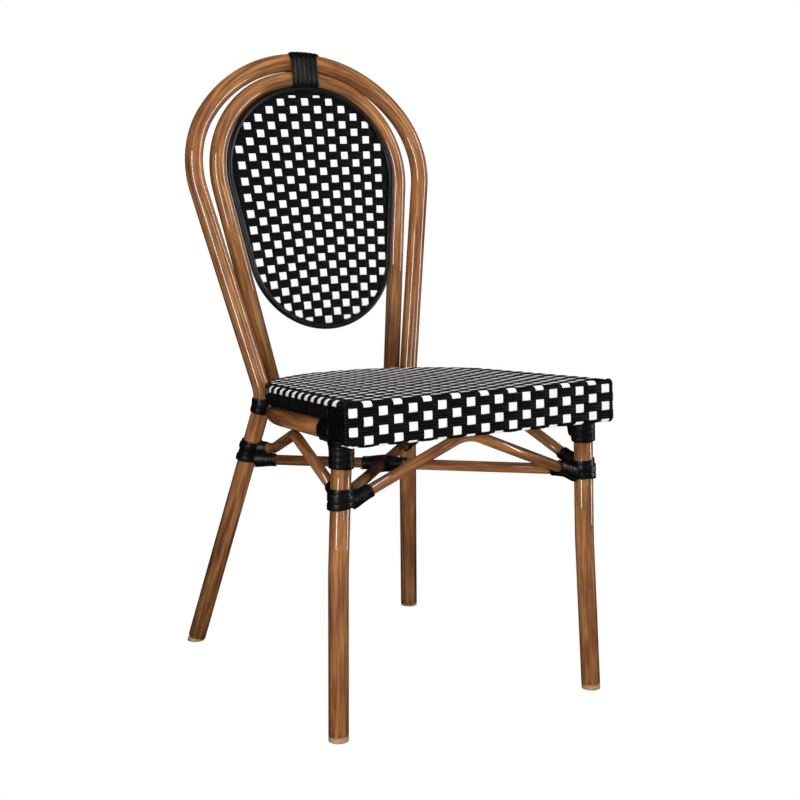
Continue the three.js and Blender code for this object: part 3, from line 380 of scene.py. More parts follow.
def in_scene(name: str, data: bpy.types.ID) -> bpy.types.Object:
    """Makes an object and puts it in the scene.

    Args:
        name: its name.
        data: its mesh, light or camera.

    Returns:
        The object.
    """
    item = bpy.data.objects.new(name, data)
    bpy.context.scene.collection.objects.link(item)
    return item


def hand_over(piece: bpy.types.Object, look: "Finish", nodes: Sequence[str]) -> None:
    """Dresses a piece, puts it on its body, and hides the solids that it stands for.

    Args:
        piece: the Blender object.
        look: its finish.
        nodes: names of the solids that it replaces.
    """
    piece.data.materials.clear()
    piece.data.materials.append(look.material())
    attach(piece, ROOT)
    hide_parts(*nodes)
    LOG.info("%s: %d faces", piece.name, len(piece.data.polygons))


def bamboo_tube(name: str, path: Array, section: Array, out: Array) -> None:
    """Makes one tube in the bamboo print, in place of the solid of the same name.

    Args:
        name: the solid's name.
        path: centre line of the tube.
        section: points of its cross-section.
        out: a direction that its frames start from.
    """
    skin = Skin()
    skin.sweep(path, section, carried_frames(path, out), GRAIN_STARTS[name])
    hand_over(skin.build(f"{name}_tube"), BAMBOO, [name])


class NodeGraph:
    """Short calls for a material's nodes."""

    def __init__(self, name: str) -> None:
        """Starts a material with a Principled shader."""
        self.material = bpy.data.materials.new(name)
        self.material.use_nodes = True
        self.tree = self.material.node_tree
        self.shader = self.tree.nodes["Principled BSDF"]

    def plug(self, socket: Socket, value: object) -> None:
        """Links an output to an input, or sets the input to a value.

        Args:
            socket: the input.
            value: the output or the value.
        """
        if isinstance(value, Socket):
            self.tree.links.new(value, socket)
        else:
            socket.default_value = value

    def add(
        self, kind: str, links: dict[str | int, object] | None = None, **settings: object,
    ) -> bpy.types.Node:
        """Adds a node.

        Args:
            kind: the node's type, without its ShaderNode prefix.
            links: for each input, either an output to link or a value to set.
            settings: the node's own properties.

        Returns:
            The node.
        """
        node = self.tree.nodes.new(f"ShaderNode{kind}")
        for key, value in settings.items():
            setattr(node, key, value)
        for key, value in (links or {}).items():
            self.plug(node.inputs[key], value)
        return node

    def lay(self) -> Socket:
        """The lengthwise coordinate."""
        return self.add("Attribute", attribute_name=LAY).outputs["Vector"]

    def noise(self, grain: Triple, detail: float) -> Socket:
        """Noise whose grains have a given size.

        Args:
            grain: size of a grain across, out and along.
            detail: how much finer noise it holds.

        Returns:
            The noise, from 0 to 1.
        """
        scale = tuple(1 / size for size in grain)
        place = self.add("VectorMath", {0: self.lay(), 1: scale}, operation="MULTIPLY").outputs[0]
        links = {"Vector": place, "Scale": 1.0, "Detail": detail, "Roughness": NOISE_ROUGHNESS}
        return self.add("TexNoise", links).outputs[0]

    def ramp(self, value: Socket, places: Sequence[float], colours: Sequence[Triple]) -> Socket:
        """Turns a value into a colour.

        Args:
            value: what drives the ramp.
            places: values at which each colour is reached, rising.
            colours: the colours.

        Returns:
            The colour.
        """
        node = self.add("ValToRGB", {0: value})
        elements = node.color_ramp.elements
        while len(elements) < len(places):
            elements.new(0.5)
        for element, place, colour in zip(elements, places, colours):
            element.position = place
            element.color = (*colour, 1.0)
        return node.outputs[0]

    def spread(self, value: Socket, low: float, high: float) -> Socket:
        """Stretches the range where most noise lies to a range of values."""
        source = {"Value": value, "From Min": NOISE_LOW, "From Max": NOISE_HIGH}
        return self.add("MapRange", {**source, "To Min": low, "To Max": high}).outputs[0]

    def mix(self, share: object, first: object, second: object) -> Socket:
        """Mixes two colours.

        Args:
            share: share of the second colour.
            first: the first colour.
            second: the second colour.

        Returns:
            The mixed colour.
        """
        node = self.add("Mix", {0: share}, data_type="RGBA")
        self.plug(node.inputs[6], first)
        self.plug(node.inputs[7], second)
        return node.outputs[2]

    def bump(self, height: Socket, depth: float) -> None:
        """Raises the surface by a height times a depth in metres."""
        links = {"Height": height, "Distance": depth, "Strength": 1.0}
        self.drive("Normal", self.add("Bump", links).outputs[0])

    def drive(self, socket: str, value: Socket) -> None:
        """Links a value to the shader."""
        self.plug(self.shader.inputs[socket], value)

    def set(self, **values: object) -> None:
        """Sets constant values on the shader's own sockets, with underscores for spaces."""
        for key, value in values.items():
            self.plug(self.shader.inputs[key.replace("_", " ")], value)


@dataclass(frozen=True)
class Finish:
    """A surface finish, made once and shared by its pieces."""

    name: str
    slot: Slot

    def material(self) -> bpy.types.Material:
        """Returns the material, and makes it the first time."""
        known = bpy.data.materials.get(self.name)
        if known:
            return known
        graph = NodeGraph(self.name)
        self.paint(graph)
        return graph.material

    def paint(self, graph: NodeGraph) -> None:
        """Sets up the nodes."""
        raise NotImplementedError


@dataclass(frozen=True)
class BambooPrint(Finish):
    """Printed bamboo grain under clear lacquer. Each grain is a size across, out and along."""

    honey: Triple = (0.37, 0.160, 0.044)
    amber: Triple = (0.275, 0.106, 0.031)
    russet: Triple = (0.185, 0.062, 0.022)
    streak: Triple = (0.045, 0.016, 0.008)
    detail: float = 3.0
    mottle_grain: Triple = (0.009, 0.009, 0.075)
    mottle_places: Triple = (0.34, 0.47, 0.62)
    broad_grain: Triple = (0.0042, 0.0042, 0.10)
    broad_places: Triple = (0.36, 0.50, 0.60)
    broad_shares: Triple = (0.62, 0.12, 0.0)
    line_grain: Triple = (0.0016, 0.0016, 0.07)
    line_places: Triple = (0.36, 0.5, 0.62)
    line_shares: Triple = (0.55, 0.1, 0.0)
    relief_grain: Triple = (0.0016, 0.0016, 0.05)
    relief_depth: float = 0.000008
    roughness: Pair = (0.55, 0.42)

    def paint(self, graph: NodeGraph) -> None:
        """Long streaks over slow mottling, with short dark flecks.

        Args:
            graph: nodes of the material.
        """
        mottle, broad, lines, relief = (
            graph.noise(grain, self.detail)
            for grain in (self.mottle_grain, self.broad_grain, self.line_grain, self.relief_grain)
        )
        colour = graph.ramp(mottle, self.mottle_places, (self.russet, self.amber, self.honey))
        for noise, places, shares in (
            (broad, self.broad_places, self.broad_shares),
            (lines, self.line_places, self.line_shares),
        ):
            share = graph.ramp(noise, places, [(tone, tone, tone) for tone in shares])
            colour = graph.mix(share, colour, (*self.streak, 1.0))
        graph.drive("Base Color", colour)
        graph.drive("Roughness", graph.spread(lines, *self.roughness))
        graph.bump(relief, self.relief_depth)
        graph.set(
            IOR=1.5, Specular_IOR_Level=0.3, Coat_Weight=1.0, Coat_Roughness=0.05, Coat_IOR=1.6,
        )


@dataclass(frozen=True)
class Plastic(Finish):
    """Plastic of two tones with a fine relief. Each grain is a size across, out and along."""

    low_tone: Triple
    high_tone: Triple
    tone_grain: Triple
    tone_detail: float
    tone_places: Pair
    relief_grain: Triple
    relief_detail: float
    relief_depth: float
    roughness: Pair
    ior: float = 1.5
    gloss: float = 0.5

    def paint(self, graph: NodeGraph) -> None:
        """Two tones in slow noise, and a relief that also changes the roughness.

        Args:
            graph: nodes of the material.
        """
        tone = graph.noise(self.tone_grain, self.tone_detail)
        tones = (self.low_tone, self.high_tone)
        graph.drive("Base Color", graph.ramp(tone, self.tone_places, tones))
        relief = graph.noise(self.relief_grain, self.relief_detail)
        graph.drive("Roughness", graph.spread(relief, *self.roughness))
        graph.bump(relief, self.relief_depth)
        graph.set(IOR=self.ior, Specular_IOR_Level=self.gloss)


@dataclass(frozen=True)
class BlackStrip(Plastic):
    """Black extruded strip with faint lengthwise lines, drawn by the die."""

    low_tone: Triple = (0.0016, 0.0015, 0.0017)
    high_tone: Triple = (0.0042, 0.0039, 0.0042)
    tone_grain: Triple = (0.02, 0.02, 0.05)
    tone_detail: float = 2.0
    tone_places: Pair = (0.35, 0.7)
    relief_grain: Triple = (0.0005, 0.0005, 0.03)
    relief_detail: float = 2.0
    relief_depth: float = 0.00012
    roughness: Pair = (0.26, 0.44)
    gloss: float = 0.42


@dataclass(frozen=True)
class WhiteStrip(Plastic):
    """Off-white extruded strip with faint ribs along it."""

    low_tone: Triple = (0.61, 0.60, 0.59)
    high_tone: Triple = (0.70, 0.69, 0.68)
    tone_grain: Triple = (0.0011, 0.0011, 0.03)
    tone_detail: float = 2.0
    tone_places: Pair = (0.3, 0.55)
    relief_grain: Triple = (0.0011, 0.0011, 0.03)
    relief_detail: float = 2.0
    relief_depth: float = 0.0001
    roughness: Pair = (0.4, 0.55)


@dataclass(frozen=True)
class FootPlastic(Plastic):
    """Pale speckled moulding with a few scuffs."""

    low_tone: Triple = (0.22, 0.13, 0.068)
    high_tone: Triple = (0.36, 0.225, 0.125)
    tone_grain: Triple = (0.006, 0.006, 0.0012)
    tone_detail: float = 2.0
    tone_places: Pair = (0.38, 0.55)
    relief_grain: Triple = (0.0012, 0.0012, 0.0012)
    relief_detail: float = 4.0
    relief_depth: float = 0.00006
    roughness: Pair = (0.4, 0.6)
    ior: float = 1.46


@dataclass(frozen=True)
class BareAluminium(Finish):
    """Mill-finish metal of the hidden bars, with drawn lines and dull patches."""

    dull: Triple = (0.42, 0.43, 0.44)
    bright: Triple = (0.58, 0.59, 0.6)
    patch_places: Pair = (0.3, 0.7)
    relief_depth: float = 0.00005
    roughness: Pair = (0.35, 0.5)

    def paint(self, graph: NodeGraph) -> None:
        """Uses the object's own coordinates, because these solids have no lengthwise one.

        Args:
            graph: nodes of the material.
        """
        place = graph.add("TexCoord").outputs["Object"]
        fine, patches = (
            graph.add("TexNoise", {"Vector": place, "Scale": scale, "Detail": detail}).outputs[0]
            for scale, detail in ((400.0, 3.0), (40.0, 2.0))
        )
        graph.drive("Base Color", graph.ramp(patches, self.patch_places, (self.dull, self.bright)))
        graph.drive("Roughness", graph.spread(fine, *self.roughness))
        graph.bump(fine, self.relief_depth)
        graph.set(Metallic=1.0)


BAMBOO = BambooPrint("lacquered_print", Slot.BAMBOO)
BINDING = BlackStrip("binding_strip", Slot.STRIP)
WEFT = BlackStrip("weft_strand", Slot.WEAVE, roughness=(0.3, 0.45), gloss=0.16)
WARP = WhiteStrip("warp_strip", Slot.WEAVE)
METAL = BareAluminium("mill_metal", Slot.METAL)
FOOT = FootPlastic("foot_plastic", Slot.FOOT)


@dataclass(frozen=True)
class Hoop:
    """One hoop of the back: crown arc, side arcs and straight runs, in a leaning plane."""

    depth: float
    lean: float
    base_half_width: float
    half_width: float
    side_radius: float
    crown_half_angle: float
    height: float
    base_height: float

    @property
    def up(self) -> Array:
        """Direction up along the lean."""
        return np.array([0.0, math.sin(self.lean), math.cos(self.lean)])

    @property
    def front(self) -> Array:
        """Direction out of the plane's front."""
        return np.array([0.0, -math.cos(self.lean), math.sin(self.lean)])

    @property
    def crown_radius(self) -> float:
        """Radius of the crown arc."""
        apart = (self.half_width - self.side_radius) / math.sin(self.crown_half_angle)
        return self.side_radius + apart

    @property
    def crown_centre(self) -> Array:
        """Centre of the crown arc in the plane."""
        return np.array([0.0, self.height - self.crown_radius])

    @property
    def side_centre(self) -> Array:
        """Centre of the right side arc in the plane."""
        crown_end = math.pi / 2 - self.crown_half_angle
        way = np.array([math.cos(crown_end), math.sin(crown_end)])
        return self.crown_centre + way * (self.crown_radius - self.side_radius)

    @property
    def run_angle(self) -> float:
        """Direction that the right straight run faces."""
        spoke = np.array([self.base_half_width, 0.0]) - self.side_centre
        return math.atan2(spoke[1], spoke[0]) + math.acos(self.side_radius / math.hypot(*spoke))

    @property
    def run_normal(self) -> Array:
        """The direction that the right straight run faces, as a vector."""
        return np.array([math.cos(self.run_angle), math.sin(self.run_angle)])

    @property
    def reach(self) -> float:
        """Distance of the straight run from the middle of the base, square to the run."""
        return float(self.side_centre @ self.run_normal) + self.side_radius

    def arcs(self, inset: float, step: float) -> Array:
        """Points of the arcs from the right straight run over the crown to the left one.

        Args:
            inset: distance inside the hoop's centre line.
            step: longest angle between two points.

        Returns:
            Points of the plane, with two columns.
        """
        crown_end = math.pi / 2 - self.crown_half_angle
        side_radius = self.side_radius - inset
        right = arc_points(self.side_centre, side_radius, self.run_angle, crown_end, step)
        crown = arc_points(
            self.crown_centre, self.crown_radius - inset, crown_end, math.pi - crown_end, step,
        )
        left = (right * MIRROR[:2])[::-1]
        return np.concatenate([right, crown[1:-1], left])

    def place(self, flat: Array, forward: float | Array = 0.0) -> Array:
        """Moves points of the plane into the chair, at a distance forward of the plane.

        Args:
            flat: points of the plane.
            forward: the distance, one for all points or for each.

        Returns:
            Points of the chair's frame.
        """
        base = np.array([0.0, self.depth, self.base_height])
        out = np.asarray(forward)[..., None] * self.front
        return base + flat[..., :1] * X_AXIS + flat[..., 1:2] * self.up + out

    def crown_point(self, x: float) -> Array:
        """Point of the crown's centre line at a distance to the side."""
        drop = self.crown_radius - math.sqrt(self.crown_radius ** 2 - x ** 2)
        return self.place(np.array([x, self.height - drop]))


@dataclass(frozen=True)
class SeatPlane:
    """The seat's own frame: from its top front edge back along its slope."""

    front_depth: float = -0.034
    front_height: float = 0.4685
    slope: float = 0.056

    @property
    def back(self) -> Array:
        """Direction to the back along the seat."""
        return np.array([0.0, math.cos(self.slope), -math.sin(self.slope)])

    @property
    def up(self) -> Array:
        """Direction out of the seat's top."""
        return np.array([0.0, math.sin(self.slope), math.cos(self.slope)])

    @property
    def origin(self) -> Array:
        """Middle of the top front edge."""
        return np.array([0.0, self.front_depth, self.front_height])

    def place(self, points: Array) -> Array:
        """Moves points from the seat's frame into the chair's.

        Args:
            points: places across, back and up from the top front edge.

        Returns:
            Points of the chair's frame.
        """
        local = np.asarray(points)
        across, back, up = local[..., :1], local[..., 1:2], local[..., 2:]
        return self.origin + across * X_AXIS + back * self.back + up * self.up

    def turn(self, vectors: Array) -> Array:
        """Turns vectors from the seat's frame into the chair's."""
        return self.place(vectors) - self.origin

    def local(self, points: Array) -> Array:
        """Moves points from the chair's frame into the seat's."""
        away = np.asarray(points) - self.origin
        return np.stack([away[..., 0], away @ self.back, away @ self.up], axis=-1)


SEAT = SeatPlane()


@dataclass
class TubeFrame:
    """Bent tube frame: hoops, rear legs, front legs and the seat rail."""

    leg_radius: float = 0.014
    inner_radius: float = 0.013
    rail_radius: float = 0.014
    touch_gap: float = 0.0003
    sides: int = 40
    arc_step: float = math.radians(2.5)
    base_height: float = 0.440
    cap_height: float = 0.008
    knee_drop: float = 0.030
    knee_radius: float = 0.070
    rear_foot: tuple[float, float] = (0.2025, 0.5145)
    front_foot: tuple[float, float] = (0.2129, 0.0)
    front_bend: Triple = (0.2049, 0.0126, 0.232)
    front_top: Triple = (0.1982, 0.0127, 0.415)
    front_bend_radius: float = 0.400
    frame_underside: float = 0.028
    band_height: float = 0.0305
    seat_half_width: float = 0.2152
    seat_depth: float = 0.441
    seat_back_radius: float = 0.1945
    weave_thickness: float = 0.0022
    rail_bend_radius: float = 0.182
    rail_diagonal: float = math.radians(30)
    rail_back_behind: float = 0.0055
    rail_back_radius: float = 0.030
    weld_depth: float = 0.003
    outer: Hoop = field(init=False)
    inner: Hoop = field(init=False)

    def __post_init__(self) -> None:
        """Works out the two hoops and the centre lines."""
        self.outer = Hoop(
            depth=0.4035, lean=0.243, base_half_width=0.1351, half_width=0.201779,
            side_radius=0.1486, crown_half_angle=0.939, height=0.5058, base_height=self.base_height,
        )
        self.inner = Hoop(
            depth=0.4139, lean=0.2228, base_half_width=0.1094, half_width=0.161221,
            side_radius=0.1518, crown_half_angle=0.388, height=0.4756, base_height=self.base_height,
        )
        flat_knee = np.array([self.outer.base_half_width, 0.0]) + self.knee_drop * np.array(
            [self.outer.run_normal[1], -self.outer.run_normal[0]],
        )
        self.knee = self.outer.place(flat_knee)
        self.rear_foot_point = np.array([*self.rear_foot, 0.0])
        self.front_foot_point = np.array([*self.front_foot, 0.0])
        self.bend = np.array(self.front_bend)
        self.top = np.array(self.front_top)
        arcs = self.outer.place(self.outer.arcs(0.0, self.arc_step))
        rear_start = self.step_up(self.rear_foot_point, self.knee, self.tube_start)
        self.rear_leg = bent_line(
            [rear_start, self.knee, arcs[0]], [self.knee_radius], self.arc_step,
        )
        below = self.rear_leg[:-1]
        self.outer_line = np.concatenate([below, arcs, (below * MIRROR)[::-1]])
        self.rail_level = -(self.band_height + self.touch_gap + self.rail_radius)
        self.rail_line = self.rail()

    @property
    def tube_start(self) -> float:
        """Distance along a leg from the floor to the end of its tube."""
        return self.cap_height + self.touch_gap

    @staticmethod
    def step_up(foot: Array, towards: Array, distance: float) -> Array:
        """Point at a distance from a foot along its leg."""
        return foot + unit(towards - foot) * distance

    @staticmethod
    def on_line(low: Array, high: Array, height: float) -> Array:
        """Point of a straight line at a height."""
        return low + (high - low) * ((height - low[2]) / (high[2] - low[2]))

    def front_leg_at(self, height: float) -> Array:
        """Centre of the right front leg at a height."""
        return self.on_line(self.bend, self.top, height)

    def rear_leg_at(self, height: float) -> Array:
        """Centre of the right rear leg at a height."""
        return self.on_line(self.rear_foot_point, self.knee, height)

    def crossing(self, path: Array, level: float) -> tuple[Array, Array]:
        """Where a path crosses a level of the seat's frame, and its direction there.

        Args:
            path: its points in the chair's frame, the first of them below the level.
            level: height in the seat's frame.

        Returns:
            The point and the direction, in the seat's frame.
        """
        local = SEAT.local(path)
        index = int(np.argmax(local[:, 2] > level))
        low, high = local[index - 1], local[index]
        share = (level - low[2]) / (high[2] - low[2])
        return low + (high - low) * share, unit(high - low)

    def on_rail_side(self, depth: float, level: float) -> Array:
        """Point of the seat rail's side run at a depth, in the seat's frame.

        Args:
            depth: how far back it lies.
            level: its height.

        Returns:
            The point.
        """
        front_x = self.seat_half_width - self.weave_thickness - self.touch_gap - self.rail_radius
        front_y = SEAT.local(self.top)[1]
        centre = np.array([0.0, self.seat_depth - self.seat_back_radius])
        spoke = np.array([front_x, front_y]) - centre
        radius = self.seat_back_radius - self.rail_radius
        facing = math.atan2(spoke[1], spoke[0]) + math.acos(radius / math.hypot(*spoke))
        return np.array([front_x - (depth - front_y) * math.tan(facing), depth, level])

    def rail(self) -> Array:
        """Centre line of the seat rail: along each side, in to the rear leg, across the back."""
        point, direction = self.crossing(self.rear_leg, self.rail_level)
        diagonal = np.array([-math.sin(self.rail_diagonal), math.cos(self.rail_diagonal), 0.0])
        normal = np.array([diagonal[1], -diagonal[0], 0.0])
        apart = (self.leg_radius + self.rail_radius + self.touch_gap) / abs(
            normal @ unit(np.cross(direction, diagonal))
        )
        contact = point - normal * apart
        self.contact = SEAT.place(contact)
        self.contact_way = SEAT.turn(diagonal)

        def on_diagonal(depth: float) -> Array:
            """Point of the diagonal run at a depth."""
            share = (depth - contact[1]) / diagonal[1]
            return np.array([*(contact + diagonal * share)[:2], self.rail_level])

        start = self.on_rail_side(SEAT.local(self.top)[1], self.rail_level)
        slope = (self.on_rail_side(0.0, 0.0) - self.on_rail_side(1.0, 0.0))[0]
        gap = on_diagonal(0.0)[0] - self.on_rail_side(0.0, 0.0)[0]
        corner = on_diagonal(gap / (math.tan(self.rail_diagonal) - slope))
        back = on_diagonal(self.seat_depth + self.rail_back_behind)
        half = [start, corner, back]
        radii = [self.rail_bend_radius, self.rail_back_radius]
        whole = bent_line(
            [*half, *[point * MIRROR for point in half[::-1]]],
            [*radii, *radii[::-1]],
            self.arc_step,
        )
        return SEAT.place(whole)

    def front_leg_line(self) -> Array:
        """Centre line of the right front leg, from its cap to the seat's frame."""
        start = self.step_up(self.front_foot_point, self.bend, self.tube_start)
        above = self.top + (self.top - self.bend)
        line = bent_line([start, self.bend, above], [self.front_bend_radius], self.arc_step / 2)
        end, _ = self.crossing(line, -self.frame_underside - self.touch_gap)
        end_point = SEAT.place(end)
        return np.concatenate([line[line[:, 2] < end_point[2]], [end_point]])

    def inner_line(self) -> Array:
        """Centre line of the inner hoop, down to its welds on the seat rail."""
        arcs = self.inner.place(self.inner.arcs(0.0, self.arc_step))
        base = self.inner.place(np.array([self.inner.base_half_width, 0.0]))
        down = unit(base - arcs[0])
        lean = math.acos(-down[2])
        into_rail = self.inner_radius * math.sin(lean + SEAT.slope)
        level = -self.band_height + into_rail - self.weld_depth
        drop = SEAT.local(base)[2] - level
        foot = base + down * (drop / -(down @ SEAT.up))
        return np.concatenate([[foot], arcs, [foot * MIRROR]])

    def build(self) -> None:
        """Makes the frame's tubes."""
        tubes = [
            ("back_hoop_outer", self.outer_line, self.leg_radius, X_AXIS),
            ("back_hoop_inner", self.inner_line(), self.inner_radius, X_AXIS),
            ("seat_rail", self.rail_line, self.rail_radius, Z_AXIS),
        ]
        for side in Side:
            leg = side.place(self.front_leg_line())
            tubes.append((f"front_leg_{side.word}", leg, self.leg_radius, X_AXIS))
        for name, path, radius, out in tubes:
            bamboo_tube(name, path, round_section(radius, self.sides), out)


@dataclass
class Braces:
    """Arched braces between the legs, and the crossed stretchers."""

    lines: TubeFrame
    radius: float = 0.008
    bend_radius: float = 0.055
    sides: int = 32
    weld_reach: float = 0.0125
    front_joint_height: float = 0.320
    front_apex_height: float = 0.399
    side_joint_height: float = 0.332
    side_apex_depth: float = 0.185
    heel_rise: float = 0.0188
    heel_reach: float = 0.041
    heel_radius: float = 0.018
    stretcher_front_height: float = 0.330
    stretcher_rear_height: float = 0.311

    def __post_init__(self) -> None:
        """Works out the centre lines, from leg axis to leg axis."""
        lines = self.lines
        self.stretcher_front = lines.front_leg_at(self.stretcher_front_height)
        self.stretcher_rear = lines.rear_leg_at(self.stretcher_rear_height)
        front_joint = lines.front_leg_at(self.front_joint_height)
        apex = np.array([0.0, front_joint[1], self.front_apex_height])
        self.front_arch = self.arch(front_joint, apex, front_joint * MIRROR)
        under_rail = lines.rail_level - lines.rail_radius - self.radius - lines.touch_gap
        depth = self.side_apex_depth - SEAT.front_depth
        side_apex = SEAT.place(lines.on_rail_side(depth, under_rail))
        side_joint = lines.front_leg_at(self.side_joint_height)
        rear = lines.rear_leg_at(self.stretcher_rear_height + self.heel_rise)
        heel = rear + unit(self.stretcher_front * MIRROR - self.stretcher_rear) * self.heel_reach
        self.side_arch = self.arch(side_joint, side_apex, rear, heel)
        front_x, rear_x = self.stretcher_front[0], self.stretcher_rear[0]
        share = front_x / (front_x + rear_x)
        through = self.stretcher_rear * MIRROR - self.stretcher_front
        self.crossing = self.stretcher_front + through * share

    def arch(
        self, start: Array, apex: Array, end: Array, heel: Array | None = None,
    ) -> Array:
        """Centre line of an arched brace.

        Args:
            start: joint on a leg's axis.
            apex: middle of the bend's crown.
            end: joint on the other leg's axis.
            heel: corner of a second, tighter bend before the end, on braces that have one.

        Returns:
            The centre line.
        """
        to_start, to_next = unit(start - apex), unit((end if heel is None else heel) - apex)
        half_turn = (math.pi - math.acos(float(to_start @ to_next))) / 2
        corner = apex - unit(to_start + to_next) * self.bend_radius * (1 / math.cos(half_turn) - 1)
        if heel is None:
            return bent_line([start, corner, end], [self.bend_radius], self.lines.arc_step)
        radii = [self.bend_radius, self.heel_radius]
        return bent_line([start, corner, heel, end], radii, self.lines.arc_step)

    def trimmed(self, path: Array, start: bool = True, end: bool = True) -> Array:
        """Cuts the ends of a path back from the leg axes to the welds.

        Args:
            path: centre line of a brace.
            start: whether its first end is cut.
            end: whether its last end is cut.

        Returns:
            The shorter centre line.
        """
        cut = path.copy()
        if start:
            cut[0] = path[0] + unit(path[1] - path[0]) * self.weld_reach
        if end:
            cut[-1] = path[-1] + unit(path[-2] - path[-1]) * self.weld_reach
        return cut

    def build(self) -> None:
        """Makes the arches and the stretchers."""
        through = np.array([self.stretcher_front, self.stretcher_rear * MIRROR])
        front_half = np.array([self.stretcher_front * MIRROR, self.crossing])
        rear_half = np.array([self.crossing, self.stretcher_rear])
        arch = self.trimmed(self.side_arch)
        tubes = {
            "front_arch": self.trimmed(self.front_arch),
            **{f"side_arch_{side.word}": side.place(arch) for side in Side},
            "stretcher_long": self.trimmed(through),
            "stretcher_half_front": self.trimmed(front_half, end=False),
            "stretcher_half_rear": self.trimmed(rear_half, start=False),
        }
        for name, path in tubes.items():
            bamboo_tube(name, path, round_section(self.radius, self.sides), OFF_AXIS)


@dataclass(frozen=True)
class Check:
    """The check weave: white strips one way, and rows of three black strands the other way."""

    strand_width: float
    tuck_run: float
    tuck: float = 0.0022
    strand_thickness: float = 0.0015
    strands_per_row: int = 3
    strand_lift: float = 0.0007
    strand_jitter: float = 0.00008
    strip_thickness: float = 0.0010
    strip_lift: float = 0.00055
    strand_sides: int = 6
    strip_sides: int = 10
    strand_squareness: float = 2.3
    strip_squareness: float = 5.0
    strand_flatness: float = 1.5
    strip_flatness: float = 3.0
    steps_per_column: int = 8
    steps_per_row: int = 8

    @staticmethod
    def wave(phase: Array, flatness: float) -> Array:
        """A wave between -1 and 1 with flattened tops, whose half period is one."""
        return np.tanh(flatness * np.cos(np.pi * phase)) / math.tanh(flatness)

    def strip_rise(self, phase: Array) -> Array:
        """Height of a white strip's middle over the surface."""
        return self.strip_lift * self.wave(phase, self.strip_flatness)

    def strand_rise(self, phase: Array) -> Array:
        """Height of a black strand's middle over the surface."""
        return -self.strand_lift * self.wave(phase, self.strand_flatness)

    def dive(self, room: Array) -> Array:
        """How deep an end dives where little room is left."""
        return self.tuck * (1 - smooth_step(room / self.tuck_run))

    def strip_profile(self, width: float) -> Array:
        """Cross-section of a white strip."""
        return strip_section(width, self.strip_thickness, self.strip_sides, self.strip_squareness)

    def strand_profile(self, scale: float = 1.0) -> Array:
        """Cross-section of a black strand, at a share of its full width."""
        return strip_section(
            self.strand_width * scale, self.strand_thickness, self.strand_sides,
            self.strand_squareness,
        )

    def strand_offsets(self, row_pitch: float) -> Array:
        """Places of a row's strands from the middle of the row."""
        count = self.strands_per_row
        return (np.arange(count) - (count - 1) / 2) * (row_pitch / count)


Surface = Callable[[Array, Array], tuple[Array, Array]]


def laid_rings(
    surface: Surface, u: Array, v: Array, section: Array, lift: Array, along_u: bool,
) -> Array:
    """Rings of a strand or strip that lies on a surface and bends with it.

    Args:
        surface: gives a point and an outward direction for arrays of u and v.
        u: place of each ring across the surface.
        v: place of each ring along the surface.
        section: points of the cross-section, sideways and outward.
        lift: height of each ring's middle over the surface.
        along_u: whether the strand runs along u, so that its section spreads along v.

    Returns:
        The rings, as rings x sides x 3.
    """
    spread = section[None, :, 0]
    first = np.broadcast_to(u[:, None], (len(u), len(section))) + (0 if along_u else spread)
    second = np.broadcast_to(v[:, None], (len(v), len(section))) + (spread if along_u else 0)
    point, out = surface(first, second)
    return point + out * (lift[:, None] + section[None, :, 1])[..., None]


